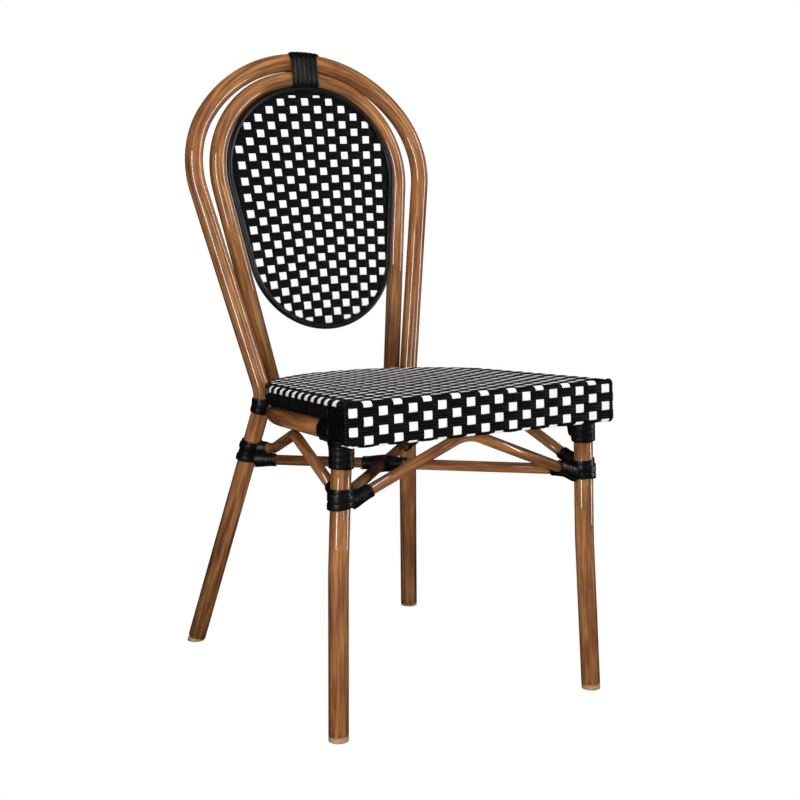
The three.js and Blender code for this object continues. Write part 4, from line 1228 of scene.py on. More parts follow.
@dataclass
class WovenSeat:
    """Woven seat: the top, its rolled sides, the deep apron in front and the bound back edge.

    Places on the seat are given by u, the way across from the middle, and v, the way forward from
    where the top starts to bend over the front edge. Both follow the surface over its edges.
    """

    lines: TubeFrame
    check: Check = Check(strand_width=0.0050, tuck_run=0.006)
    rounding: float = 0.0075
    apron_height: float = 0.0615
    apron_depth: float = 0.061
    apron_return: float = 0.024
    band_return: float = 0.011
    sink: float = 0.0013
    column_pitch: float = 0.02275
    column_shift: float = -0.0025
    last_column: int = 9
    strip_width: float = 0.0133
    row_pitch: float = 0.0125
    top_row_pitch: float = 0.01225
    first_row: float = 0.0176
    apron_rows: int = 6
    wrap_back: float = 0.055
    corner_bulge: float = 0.0034
    bulge_from: float = 0.25
    bulge_growth: float = 4.0
    corner_overlap: float = 0.0045
    face_tilt: float = 0.006
    end_pitch: float = 0.0046
    end_step: float = 0.0012
    ripple_run: float = 0.004
    side_column_shift: float = 0.0062
    edge_sink: float = 0.0016
    edge_run: float = 0.022
    edge_columns: float = 1.2
    hidden_rows: float = 1.6
    rear_from: float = -0.2
    bound_from: float = math.radians(18)
    bound_inset: float = 0.004
    bound_step: float = 0.0015
    bound_jitter: float = 0.0001
    seed: int = 11

    def __post_init__(self) -> None:
        """Works out the outline's sizes."""
        self.half_width = self.lines.seat_half_width
        self.depth = self.lines.seat_depth
        self.back_radius = self.lines.seat_back_radius
        self.back_centre = self.depth - self.back_radius
        spoke = np.array([self.half_width, self.apron_depth - self.back_centre])
        facing = math.atan2(spoke[1], spoke[0])
        self.side_facing = facing + math.acos(self.back_radius / math.hypot(*spoke))
        self.roll = math.pi / 2 * self.rounding
        self.row_start = 1 - self.first_row / self.row_pitch
        self.top_scale = self.top_row_pitch / self.row_pitch
        self.random = np.random.default_rng(self.seed)

    def line_half_width(self, y: Array) -> Array:
        """Half width between the side lines, carried on to the back."""
        taper = np.maximum(y - self.apron_depth, 0.0) * math.tan(self.side_facing)
        return self.half_width - taper

    def outline_half_width(self, y: Array) -> Array:
        """Half width of the seat at a depth.

        Args:
            y: the depth in the seat's frame.

        Returns:
            The half width.
        """
        tangent_depth = self.back_centre + self.back_radius * math.sin(self.side_facing)
        on_arc = np.sqrt(np.maximum(self.back_radius ** 2 - (y - self.back_centre) ** 2, 0.0))
        return np.where(y > tangent_depth, on_arc, self.line_half_width(y))

    def over_edge(self, past: Array, height: float | Array) -> tuple[Array, Array, Array]:
        """Follows a rounded edge down, round its foot and back underneath.

        Args:
            past: way over the surface from where the edge starts to bend.
            height: height of the edge.

        Returns:
            How far out and how far down the surface lies there, and the angle that it has turned.
        """
        r = self.rounding
        straight = height - 2 * r
        first = np.clip(past / r, 0, math.pi / 2)
        second = np.clip((past - self.roll - straight) / r, 0, math.pi / 2)
        down = np.clip(past - self.roll, 0, straight)
        inward = np.maximum(past - 2 * self.roll - straight, 0)
        outward = r * np.sin(first) - r * (1 - np.cos(second)) - inward
        drop = r * (1 - np.cos(first)) + down + r * np.sin(second)
        return outward, drop, first + second

    def way_under(self, height: float, under: float) -> float:
        """Way over an edge of a given height to where its weave ends underneath."""
        return 2 * self.roll + height - 3 * self.rounding + under

    def profile(self, v: Array) -> tuple[Array, Array, Array, Array]:
        """Depth and height of the middle section at v, and the direction that it faces there."""
        outward, drop, angle = self.over_edge(v, self.apron_height)
        return self.rounding - np.minimum(v, 0) - outward, -drop, -np.sin(angle), np.cos(angle)

    def surface(self, u: Array, v: Array) -> tuple[Array, Array]:
        """Point of the seat's surface, and its outward direction, in the chair's frame.

        Args:
            u: places across.
            v: places forward.

        Returns:
            The points and the directions.
        """
        v = v - self.face_tilt * u * smooth_step(v / self.roll)
        y, z, face_y, face_z = self.profile(v)
        edge = self.outline_half_width(y) - self.rounding
        height = np.where(y > self.apron_depth, self.lines.band_height, self.apron_height)
        outward, drop, angle = self.over_edge(np.abs(u) - edge, height)
        sign = np.sign(u)
        x = sign * (np.minimum(np.abs(u), edge) + outward)
        out_x, out_v = sign * np.sin(angle), np.cos(angle)
        local = np.stack([x, y - face_y * drop, z - face_z * drop], axis=-1)
        out = SEAT.turn(np.stack([out_x, face_y * out_v, face_z * out_v], axis=-1))
        return SEAT.place(local) - out * self.sink, out

    def column(self, k: int, y: Array, on_top: Array) -> Array:
        """Place across of a white column at a depth. The outermost are shifted out on the top.

        Args:
            k: number of the column, 0 in the middle.
            y: depths.
            on_top: whether each depth is on the top.

        Returns:
            The place u at each depth.
        """
        scale = self.line_half_width(y) / self.half_width
        edge = math.copysign(self.side_column_shift, k) if abs(k) == self.last_column else 0.0
        shift = edge * smooth_step(y / self.edge_run) * on_top
        return (k * self.column_pitch + self.column_shift) * scale + shift

    def row_phase(self, v: Array) -> Array:
        """Row number at v: 1 is the first full row of the apron, and the top's rows are below 1."""
        return self.row_start + v / np.where(v > 0, self.row_pitch, self.top_row_pitch)

    def row_scale(self, row: int) -> float:
        """How much closer a row's strands lie than the apron's."""
        return 1.0 if row > 0 else self.top_scale

    def strand_place(self, row: int, offset: float) -> tuple[float, float]:
        """The place v of a strand, and its depth, from its row and its offset within the row.

        Args:
            row: number of the row.
            offset: distance from the middle of the row.

        Returns:
            The place v and the depth.
        """
        pitch = self.row_pitch if row > self.row_start else self.top_row_pitch
        v = (row - self.row_start) * pitch + offset * self.row_scale(row)
        return v, float(self.profile(np.array(v))[0])

    def warp(self) -> Skin:
        """White strips from the back edge over the front and under the apron."""
        skin = Skin()
        check = self.check
        section = check.strip_profile(self.strip_width)
        v_end = self.way_under(self.apron_height, self.apron_return)
        step = self.row_pitch / check.steps_per_row
        for k in range(-self.last_column, self.last_column + 1):
            outermost = abs(k) == self.last_column
            v = np.arange(v_end, -(self.depth - self.rounding), -step)
            y = self.profile(v)[0]
            u = self.column(k, y, v < self.roll)
            held = np.abs(u) - (self.side_column_shift if outermost else 0.0)
            arc = np.sqrt(np.maximum(self.back_radius ** 2 - held ** 2, 0))
            room = self.back_centre + arc - y
            on_seat = (room > self.bound_inset / 2) & (held < self.outline_half_width(y))
            inside = (v > self.rear_from) | on_seat
            v, u, room = v[inside], u[inside], room[inside]
            lift = check.strip_rise(self.row_phase(v) + k)
            if outermost:
                hidden = (v < self.roll / 2) & (v > -self.hidden_rows * self.top_row_pitch)
                lift = np.where(hidden, -self.edge_sink, lift)
            lift = lift - check.dive(room) * (v < self.rear_from)
            rings = laid_rings(self.surface, u, v, section, lift, along_u=False)
            skin.loft(rings, lengthwise(section, -v, grain_start(self.random)))
        return skin

    def strand(self, skin: Skin, row: int, offset: float, reach: float, tucked: bool) -> None:
        """Adds one black strand across the seat.

        Args:
            skin: the mesh to add to.
            row: number of its row.
            offset: its place within the row.
            reach: how far it runs to each side, measured over the surface.
            tucked: whether its ends dive under the edge.
        """
        check = self.check
        v, y = self.strand_place(row, offset)
        step = self.column_pitch / check.steps_per_column
        corner = min(reach, self.half_width - self.rounding)
        middle = np.linspace(-corner, corner, int(2 * corner / step) + 1)
        ends = np.linspace(corner, reach, int((reach - corner) / self.end_step) + 1)[1:]
        u = np.concatenate([-ends[::-1], middle, ends])
        fan = float(self.line_half_width(np.array(y))) / self.half_width
        phase = (u / fan - self.column_shift) / self.column_pitch
        beyond = np.abs(phase) - self.last_column
        lift = check.strand_rise(np.clip(phase, -self.last_column, self.last_column) + row)
        if row in (0, -1):
            raised = smooth_step(beyond + self.edge_columns)
            lift = lift * (1 - raised) + check.strand_lift * raised
        lift = lift * (1 - smooth_step(beyond))
        if row >= 0:
            past = np.abs(u) - corner
            order = round(v / (self.row_pitch / check.strands_per_row))
            ripple = np.cos(np.pi * (past / self.end_pitch + order))
            ripple = ripple * smooth_step((past - self.roll) / self.ripple_run)
            bulge = smooth_step((beyond - self.bulge_from) * self.bulge_growth)
            bulge = bulge * (1 - smooth_step((past - self.roll) / self.wrap_back))
            lift = lift + self.corner_bulge * bulge + check.strand_lift * ripple
        lift = lift + float(self.random.normal(0, check.strand_jitter))
        if tucked:
            lift = lift - check.dive(reach - np.abs(u))
        section = check.strand_profile(self.row_scale(row))
        rings = laid_rings(self.surface, u, np.full_like(u, v), section, lift, along_u=True)
        skin.loft(rings, lengthwise(section, u, grain_start(self.random)))

    def apron_weft(self) -> Skin:
        """Black strands of the front edge and the apron, round the corners and under."""
        skin = Skin()
        reach = self.half_width - self.rounding + self.roll + self.wrap_back
        for row in range(self.apron_rows):
            for offset in self.check.strand_offsets(self.row_pitch):
                self.strand(skin, row, offset, reach, tucked=True)
        return skin

    def top_reach(self, y: float) -> tuple[float, bool]:
        """How far a strand of the top runs to each side at a depth, and whether its ends dive.

        Args:
            y: the depth.

        Returns:
            The reach, measured over the surface, and whether the ends dive.
        """
        width = float(self.outline_half_width(np.array(y)))
        if y < self.rounding + self.wrap_back - self.check.strand_width:
            return width - self.rounding + self.roll + self.corner_overlap, True
        if y > self.back_centre + self.back_radius * math.sin(self.bound_from):
            return width - self.bound_inset, True
        height = self.apron_height if y < self.apron_depth else self.lines.band_height
        return width - self.rounding + self.way_under(height, self.band_return), False

    def top_weft(self) -> Skin:
        """Black strands of the top. Those of the sides run on down the band and under it."""
        skin = Skin()
        limit = self.depth - self.bound_inset - self.check.strand_width
        for row in itertools.count(-1, -1):
            offsets = self.check.strand_offsets(self.row_pitch)
            depths = [self.strand_place(row, offset)[1] for offset in offsets]
            for offset, y in zip(offsets, depths):
                if y <= limit:
                    self.strand(skin, row, offset, *self.top_reach(y))
            if max(depths) > limit:
                return skin

    def edge_binding(self) -> Skin:
        """Black strands that bind the round back edge, from the top down and under."""
        skin = Skin()
        check, height = self.check, self.lines.band_height
        pitch = self.row_pitch / check.strands_per_row / self.back_radius
        angles = np.arange(self.bound_from, math.pi - self.bound_from + pitch / 2, pitch)
        end = self.way_under(height, self.band_return)
        q = np.arange(-self.bound_inset, end, self.bound_step)
        outward, drop, turn = self.over_edge(q, height)
        reach = self.back_radius - self.rounding + outward + np.minimum(q, 0)
        centre = np.array([0.0, self.back_centre, 0.0])
        for angle in angles:
            plan = np.array([math.cos(angle), math.sin(angle), 0.0])
            side = np.array([-math.sin(angle), math.cos(angle), 0.0])
            out = between(turn, Z_AXIS, plan)
            jitter = float(self.random.normal(0, self.bound_jitter))
            lift = check.strand_lift + jitter - check.dive(q + self.bound_inset) - self.sink
            path = centre + reach[:, None] * plan - drop[:, None] * Z_AXIS + out * lift[:, None]
            frames = (np.broadcast_to(SEAT.turn(side), path.shape), SEAT.turn(out))
            skin.sweep(SEAT.place(path), check.strand_profile(), frames, grain_start(self.random))
        return skin

    def build(self) -> None:
        """Makes the seat's woven pieces, in place of its plain skin."""
        for make, name, look in (
            (self.warp, "seat_white_strips", WARP),
            (self.top_weft, "seat_top_strands", WEFT),
            (self.apron_weft, "seat_apron_strands", WEFT),
            (self.edge_binding, "seat_back_edge_binding", WEFT),
        ):
            hand_over(make().build(name), look, ["seat_weave"])


@dataclass
class WovenPanel:
    """Woven back panel and its bound rim, in the plane of the inner hoop."""

    lines: TubeFrame
    check: Check = Check(strand_width=0.0053, tuck_run=0.005)
    rim_radius: float = 0.005
    rim_forward: float = 0.007
    bottom_height: float = 0.074
    pitch_at_base: float = 0.0160
    pitch_growth: float = 0.0131
    last_column: int = 7
    strip_width: float = 0.0123
    row_pitch: float = 0.0126
    first_row_height: float = 0.0844
    fewest_rings: int = 4
    fewest_steps: int = 6
    rim_lobes: int = 5
    rim_lobe_depth: float = 0.05
    rim_sides: int = 40
    margin: float = 0.0025
    top_margin: float = 0.0030
    top_from: float = 0.40
    top_run: float = 0.05
    row_tilt: float = 0.016
    row_bow: float = 0.0040
    bow_half_width: float = 0.115
    bow_from: float = 0.16
    bow_run: float = 0.20
    seed: int = 23

    def __post_init__(self) -> None:
        """Works out the panel's outline."""
        hoop = self.lines.inner
        spacing = self.lines.inner_radius + self.rim_radius + self.lines.touch_gap
        self.rim_inset = math.sqrt(spacing ** 2 - self.rim_forward ** 2)
        run_z = hoop.run_normal[1]
        across = hoop.reach - self.rim_inset - self.bottom_height * run_z
        self.bottom_radius = across / (1 + run_z)
        self.random = np.random.default_rng(self.seed)

    def outline(self, inset: float) -> Array:
        """Closed outline of the panel at a distance inside the rim's centre line.

        Args:
            inset: the distance.

        Returns:
            Points of the hoop's plane, with two columns.
        """
        hoop = self.lines.inner
        upper = hoop.arcs(self.rim_inset + inset, self.lines.arc_step)
        centre = np.array([0.0, self.bottom_height + self.bottom_radius])
        lower = arc_points(
            centre, self.bottom_radius - inset,
            math.pi - hoop.run_angle, 2 * math.pi + hoop.run_angle, self.lines.arc_step,
        )
        return np.concatenate([upper, lower])

    def half_width(self, heights: Array, lowered: float = 0.0) -> Array:
        """Half width of the weave at each height, with its top edge lowered.

        Args:
            heights: heights in the hoop's plane.
            lowered: how much lower the top edge lies.

        Returns:
            The half widths, which are 0 outside the outline.
        """
        outline = self.outline(self.margin)
        outline[:, 1] -= lowered * smooth_step((outline[:, 1] - self.top_from) / self.top_run)
        right = outline[outline[:, 0] > 0]
        order = np.argsort(right[:, 1])
        return np.interp(heights, right[order, 1], right[order, 0], left=0.0, right=0.0)

    def surface(self, u: Array, v: Array) -> tuple[Array, Array]:
        """Point of the panel's middle surface, and its outward direction. The rows lean and bow.

        Args:
            u: places across.
            v: heights in the hoop's plane.

        Returns:
            The points and the directions.
        """
        hoop = self.lines.inner
        bow = self.row_bow * (1 - smooth_step((v - self.bow_from) / self.bow_run))
        height = v + self.row_tilt * u - bow * (u / self.bow_half_width) ** 2
        point = hoop.place(np.stack([u, height], axis=-1), np.full(u.shape, self.rim_forward))
        return point, np.broadcast_to(hoop.front, point.shape)

    def pitch(self, height: float | Array) -> float | Array:
        """Spacing of the white columns, which fan out upwards."""
        return self.pitch_at_base + self.pitch_growth * height

    def warp(self) -> Skin:
        """White strips up the panel."""
        skin = Skin()
        check = self.check
        section = check.strip_profile(self.strip_width)
        step = self.row_pitch / check.steps_per_row
        heights = np.arange(self.bottom_height, self.lines.inner.height, step)
        for k in range(-self.last_column, self.last_column + 1):
            across = k * self.pitch(heights)
            inside = np.abs(across) < self.half_width(heights, self.top_margin) - self.margin
            v, u = heights[inside], across[inside]
            if len(v) < self.fewest_rings:
                continue
            lift = check.strip_rise((v - self.first_row_height) / self.row_pitch + k)
            lift = lift - check.dive(v[-1] - v)
            rings = laid_rings(self.surface, u, v, section, lift, along_u=False)
            skin.loft(rings, lengthwise(section, v, grain_start(self.random)))
        return skin

    def strand(self, skin: Skin, row: int, height: float) -> None:
        """Adds one black strand across the panel, if there is room for it.

        Args:
            skin: the mesh to add to.
            row: number of its row.
            height: its height in the hoop's plane.
        """
        check = self.check
        reach = float(self.half_width(np.array(height)))
        if reach < self.strip_width / 2:
            return
        pitch = float(self.pitch(height))
        count = max(self.fewest_steps, int(2 * reach / pitch * check.steps_per_column))
        u = np.linspace(-reach, reach, count + 1)
        lift = check.strand_rise(u / pitch + row)
        lift = lift + float(self.random.normal(0, check.strand_jitter))
        section = check.strand_profile()
        rings = laid_rings(self.surface, u, np.full_like(u, height), section, lift, along_u=True)
        skin.loft(rings, lengthwise(section, u, grain_start(self.random)))

    def weft(self) -> Skin:
        """Rows of black strands across the panel."""
        skin = Skin()
        top = self.outline(self.margin)[:, 1].max()
        last_row = int((top - self.first_row_height) / self.row_pitch) + 1
        for row in range(-1, last_row + 1):
            for offset in self.check.strand_offsets(self.row_pitch):
                self.strand(skin, row, self.first_row_height + row * self.row_pitch + offset)
        return skin

    def rim(self) -> Skin:
        """The rim: strands laid side by side round a core, so that its section is lobed."""
        flat = self.outline(0.0)
        path = self.lines.inner.place(flat, np.full(len(flat), self.rim_forward))
        apart = np.linalg.norm(np.diff(path, axis=0), axis=1) > SAME_POINT
        path = path[np.concatenate([[True], apart])]
        if np.linalg.norm(path[0] - path[-1]) < SAME_POINT:
            path = path[:-1]
        out = np.broadcast_to(self.lines.inner.front, path.shape)
        angles = ring_angles(self.rim_sides)
        lobes = 1 - self.rim_lobe_depth * (1 - np.abs(np.sin(self.rim_lobes * angles / 2)))
        section = self.rim_radius * lobes[:, None] * on_circle(angles)
        frames = (np.cross(out, path_tangents(path, looped=True)), out)
        skin = Skin()
        skin.sweep(path, section, frames, looped=True)
        return skin

    def build(self) -> None:
        """Makes the panel and its rim."""
        hand_over(self.warp().build("panel_white_strips"), WARP, ["back_panel_weave"])
        hand_over(self.weft().build("panel_black_strands"), WEFT, ["back_panel_weave"])
        hand_over(self.rim().build("panel_rim_binding"), BINDING, ["back_panel_rim"])


@dataclass
class Bindings:
    """Black strip bound over every joint."""

    lines: TubeFrame
    braces: Braces
    thickness: float = 0.0019
    lift: float = 0.0004
    sides: int = 14
    squareness: float = 3.4
    crown_width: float = 0.0076
    crown_thickness: float = 0.0030
    crown_squareness: float = 2.1
    crown_pitch: float = 0.0079
    crown_loops: int = 6
    crown_steps: int = 56
    crown_start_share: float = 0.125
    crown_shift: float = 0.0055
    band_width: float = 0.0088
    band_turns: int = 4
    band_wobble: float = 0.02
    wobble_rate: float = 1.37
    joint_bands_height: float = 0.0334
    seat_bands_height: float = 0.0286
    turn_steps: int = 48
    front_bands_bottom: float = 0.3165
    rear_bands_bottom: float = 0.3140
    seat_bands_bottom: float = 0.3858
    collar_width: float = 0.0072
    collar_turns: float = 6.0
    collar_start: float = 0.012
    collar_tilt: float = 0.1
    collar_coarseness: float = 1.5
    collar_turn_range: float = 6.0
    flare_rate: float = 1.15
    long_cuff: Pair = (0.052, 0.0022)
    short_cuff: Pair = (0.034, 0.0012)
    heel_cuff: Pair = (0.031, 0.0012)
    crossing_start: float = -0.002
    crossing_flare: float = 0.0028
    crossing_reaches: tuple[float, ...] = (0.040, 0.036, 0.028, 0.028)
    saddle_tilt: float = math.radians(9)
    saddle_rise: float = 0.004
    saddle_layers: float = 1.5
    cover_thickness: float = 0.0013
    cover_bottom: float = 0.387
    cover_top: float = 0.436
    cover_back: float = 0.068
    cover_grain_start: float = 2.0
    voxel: float = 0.0013
    smooth_factor: float = 0.5
    smooth_rounds: int = 7
    ridge_pitch: float = 0.0085
    ridge_depth: float = 0.0006
    ridge_power: float = 0.5
    ridge_middle: float = 0.4
    sway: float = 0.12
    sway_waves: int = 2
    sway_start: float = 1.0
    end_level: float = 0.5
    end_run: float = 0.4
    swell: float = 0.0005
    seed: int = 5

    def __post_init__(self) -> None:
        """Starts the seeded random draws."""
        self.random = np.random.default_rng(self.seed)

    @staticmethod
    def bind(skin: Skin, node: str, ending: str) -> None:
        """Hands over a binding, in place of the solid that it is named after."""
        hand_over(skin.build(f"{node}_{ending}"), BINDING, [node])

    def lay_strip(
        self, skin: Skin, path: Array, outs: Array, section: Array, looped: bool = False,
    ) -> None:
        """Adds a strip along a path, facing out.

        Args:
            skin: the mesh to add to.
            path: centre of the strip.
            outs: rough outward direction at each point.
            section: the strip's cross-section.
            looped: whether the path closes on itself.
        """
        tangents = path_tangents(path, looped)
        out = unit(outs - tangents * np.sum(outs * tangents, axis=1, keepdims=True))
        frames = (np.cross(out, tangents), out)
        skin.sweep(path, section, frames, grain_start(self.random), looped)

    def strip(self, width: float) -> Array:
        """Cross-section of a binding strip."""
        return strip_section(width, self.thickness, self.sides, self.squareness)

    def crown(self) -> Skin:
        """Turns of strip that hold the two hoops together at the crown."""
        outer, inner = self.lines.outer, self.lines.inner
        stand = self.lift + self.crown_thickness / 2
        path, outs = [], []
        for step in range(self.crown_loops * self.crown_steps + 1):
            turn = step / self.crown_steps
            x = (turn - self.crown_loops / 2) * self.crown_pitch + self.crown_shift
            upper, lower = outer.crown_point(x), inner.crown_point(x)
            apart = unit((upper - lower) * (1 - X_AXIS))
            out = turned(apart, X_AXIS, 2 * math.pi * (turn + self.crown_start_share))
            if out @ apart > 0:
                hoop, centre, radius = outer, upper, self.lines.leg_radius
            else:
                hoop, centre, radius = inner, lower, self.lines.inner_radius
            path.append(centre + out * (radius + stand))
            outs.append(unit(out + X_AXIS * (x / hoop.crown_radius * (out @ apart))))
        section = strip_section(
            self.crown_width, self.crown_thickness, self.sides, self.crown_squareness,
        )
        skin = Skin()
        self.lay_strip(skin, np.array(path), np.array(outs), section)
        return skin

    def leg_bands(self, skin: Skin, line: Array, bottom: float, height: float) -> None:
        """Adds turns of strip round a leg.

        Args:
            skin: the mesh to add to.
            line: the leg's centre line, from the floor up.
            bottom: height of the lowest turn's lower edge.
            height: how far the turns reach up the leg.
        """
        upward = np.concatenate([[True], np.maximum.accumulate(line[:, 2])[:-1] < line[1:, 2]])
        line = line[upward]
        lengths = path_lengths(line)
        share = np.linspace(0, 1, self.band_turns * self.turn_steps + 1)
        angle = 2 * math.pi * self.band_turns * share
        rise = self.band_width / 2 + share * (height - self.band_width)
        reach = float(np.interp(bottom, line[:, 2], lengths)) + rise
        centre = np.stack([np.interp(reach, lengths, values) for values in line.T], axis=1)
        axes = path_tangents(centre)
        first = unit(np.cross(axes, X_AXIS))
        out = between(angle, first, np.cross(axes, first))
        wobble = 1 + self.band_wobble * np.sin(angle * self.wobble_rate)
        radius = (self.lines.leg_radius + self.lift + self.thickness / 2) * wobble
        self.lay_strip(skin, centre + out * radius[:, None], out, self.strip(self.band_width))

    def saddle(self, skin: Skin, joint: Array, axis: Array, way: Array) -> None:
        """Adds a slanted loop round a leg, above a brace on one side and below on the other.

        Args:
            skin: the mesh to add to.
            joint: middle of the loop.
            axis: direction up the leg.
            way: direction of the brace.
        """
        level = unit(way - axis * (way @ axis))
        across = np.cross(axis, level)
        slant = unit(level + axis * math.tan(self.saddle_tilt))
        angle = np.arange(self.turn_steps) * 2 * math.pi / self.turn_steps
        radius = self.lines.leg_radius + self.lift + self.saddle_layers * self.thickness
        long_radius = radius / math.cos(self.saddle_tilt)
        path = joint + between(angle, slant * long_radius, across * radius)
        outs = between(angle, level, across)
        self.lay_strip(skin, path, outs, self.strip(self.band_width), looped=True)

    def collar(
        self, skin: Skin, root: Array, way: Array, span: Pair, turns: float, flare: float,
    ) -> None:
        """Adds turns of strip round a brace, wider where they start.

        Args:
            skin: the mesh to add to.
            root: the point that distances are measured from.
            way: direction along the brace.
            span: distances of the strip's two ends.
            turns: number of turns.
            flare: how much wider the first turn is than the last.
        """
        axis = unit(way)
        first = unit(np.cross(axis, Z_AXIS + self.collar_tilt * X_AXIS))
        share = np.linspace(0, 1, int(turns * self.turn_steps / self.collar_coarseness) + 1)
        start_turn = float(self.random.uniform(0, self.collar_turn_range))
        out = between(2 * math.pi * turns * share + start_turn, first, np.cross(axis, first))
        extra = flare * (1 - smooth_step(share * self.flare_rate))
        radius = self.braces.radius + self.lift + self.thickness / 2 + extra
        start, end = span
        reach = start + self.collar_width / 2 + (end - start - self.collar_width) * share
        path = root + axis * reach[:, None] + out * radius[:, None]
        outs = unit(out - axis * np.gradient(radius, reach)[:, None])
        self.lay_strip(skin, path, outs, self.strip(self.collar_width))

    def joint_lines(self) -> dict[str, list[tuple[str, Array, Array]]]:
        """For each right leg, its braces: cuff name, joint on the leg's axis and way out."""
        braces = self.braces
        front, side = braces.front_arch, braces.side_arch
        near, far = braces.stretcher_front, braces.stretcher_rear
        return {
            "front": [
                ("cuff_front_arch", front[0], front[1] - front[0]),
                ("cuff_side_arch_front", side[0], side[1] - side[0]),
                ("cuff_stretcher_front", near, far * MIRROR - near),
            ],
            "rear": [
                ("cuff_side_arch_rear", side[-1], side[-2] - side[-1]),
                ("cuff_stretcher_rear", far, near * MIRROR - far),
            ],
        }

    def cuff_size(self, cuff: str, side: Side) -> Pair:
        """How far a cuff reaches from its leg's axis, and how much wider it starts.

        Args:
            cuff: its name, without the side.
            side: its side of the chair.

        Returns:
            The two sizes.
        """
        if cuff == "cuff_side_arch_rear":
            return self.heel_cuff
        if cuff == "cuff_side_arch_front" and side is Side.LEFT:
            return self.short_cuff
        return self.long_cuff

    def leg_lashings(self) -> None:
        """Makes the lashings where braces meet the legs."""
        lines = self.lines
        front_way, rear_way = lines.top - lines.bend, lines.knee - lines.rear_foot_point
        starts = {
            "front": (self.front_bands_bottom, lines.front_leg_line(), front_way),
            "rear": (self.rear_bands_bottom, lines.rear_leg, rear_way),
        }
        for place, joints in self.joint_lines().items():
            bottom, leg_line, leg_way = starts[place]
            axis = unit(leg_way)
            for side in Side:
                flip = side.place
                skin = Skin()
                self.leg_bands(skin, flip(leg_line), bottom, self.joint_bands_height)
                for _, joint, way in joints:
                    raised = joint + axis * self.saddle_rise
                    self.saddle(skin, flip(raised), flip(axis), flip(way))
                self.bind(skin, f"lower_wrap_{place}_{side.word}", "strips")
                for cuff, joint, way in joints:
                    skin = Skin()
                    end, flare = self.cuff_size(cuff, side)
                    span = (self.collar_start, end)
                    self.collar(skin, flip(joint), flip(way), span, self.collar_turns, flare)
                    self.bind(skin, f"{cuff}_{side.word}", "strip")

    def crossing_lashing(self) -> None:
        """Makes the lashing where the stretchers cross."""
        braces = self.braces
        near, far = braces.stretcher_front, braces.stretcher_rear
        skin = Skin()
        for end, reach in zip((near, far * MIRROR, near * MIRROR, far), self.crossing_reaches):
            way, span = end - braces.crossing, (self.crossing_start, reach)
            turns = reach / self.collar_width
            self.collar(skin, braces.crossing, way, span, turns, self.crossing_flare)
        self.bind(skin, "stretcher_wrap", "strips")

    def corner_cover(self, side: Side) -> None:
        """Makes the strip over the top of a front leg and the end of the seat rail beside it.

        Args:
            side: its side of the chair.
        """
        lines = self.lines
        leg = np.array([lines.front_leg_at(z) for z in (self.cover_bottom, self.cover_top)])
        depths = (SEAT.local(lines.top)[1], self.cover_back)
        level = lines.rail_level
        rail = np.array([SEAT.place(lines.on_rail_side(depth, level)) for depth in depths])
        skin = Skin()
        for path, radius, out in (
            (leg, lines.leg_radius, X_AXIS), (rail, lines.rail_radius, Z_AXIS),
        ):
            section = round_section(radius + self.cover_thickness, lines.sides)
            placed = side.place(path)
            skin.sweep(placed, section, carried_frames(placed, out), self.cover_grain_start)
        self.bind(skin, f"front_leg_wrap_{side.word}", "cover")

    def seat_bands(self, side: Side) -> None:
        """Makes the turns of strip round a rear leg beside the seat.

        Args:
            side: its side of the chair.
        """
        skin = Skin()
        leg = side.place(self.lines.rear_leg)
        self.leg_bands(skin, leg, self.seat_bands_bottom, self.seat_bands_height)
        self.bind(skin, f"rear_seat_wrap_{side.word}", "strips")

    def remeshed(self, node: str) -> bpy.types.Object:
        """A smooth, even copy of a solid.

        Args:
            node: name of the solid.

        Returns:
            The copy.
        """
        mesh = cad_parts[node].data.copy()
        mesh.materials.clear()
        piece = in_scene(f"{node}_strips", mesh)
        remesh = piece.modifiers.new("remesh", "REMESH")
        remesh.mode = "VOXEL"
        remesh.voxel_size = self.voxel
        smooth = piece.modifiers.new("smooth", "SMOOTH")
        smooth.factor = self.smooth_factor
        smooth.iterations = self.smooth_rounds
        graph = bpy.context.evaluated_depsgraph_get()
        piece_mesh = bpy.data.meshes.new_from_object(piece.evaluated_get(graph))
        piece.modifiers.clear()
        piece.data = piece_mesh
        bpy.data.meshes.remove(mesh)
        return piece

    def shaped_wrap(self, node: str, axis: Array, origin: Array) -> None:
        """Makes a smooth bound joint from its solid, with a ridge for each turn of strip.

        Args:
            node: name of the solid.
            axis: direction that the turns are stacked along.
            origin: a point of that axis, in the chair's frame.
        """
        piece = self.remeshed(node)
        mesh = piece.data
        points, normals = vertex_vectors(mesh, "co"), vertex_vectors(mesh, "normal")
        away = points - origin - FRONT_FEET
        stacked = away @ axis
        around = np.arctan2(away @ unit(np.cross(axis, X_AXIS)), away[:, 0])
        sway = self.sway * np.sin(self.sway_waves * around + self.sway_start)
        ridge = np.abs(np.sin(np.pi * (stacked / self.ridge_pitch + sway))) ** self.ridge_power
        on_side = 1 - smooth_step((np.abs(normals @ axis) - self.end_level) / self.end_run)
        height = self.ridge_depth * (ridge - self.ridge_middle) * on_side + self.swell
        moved = points + normals * height[:, None]
        mesh.vertices.foreach_set("co", moved.ravel().astype(np.float32))
        distance = np.linalg.norm(away, axis=1)
        set_lay(mesh, np.stack([stacked, distance, around * self.lines.leg_radius], axis=1))
        mesh.shade_smooth()
        mesh.update()
        hand_over(piece, BINDING, [node])

    def build(self) -> None:
        """Makes every binding."""
        self.bind(self.crown(), "top_wrap", "strip")
        self.leg_lashings()
        self.crossing_lashing()
        lines = self.lines
        axis = unit(lines.top - lines.bend)
        for side in Side:
            self.shaped_wrap(f"front_leg_wrap_{side.word}", side.place(axis), side.place(lines.top))
            self.corner_cover(side)
            self.seat_bands(side)


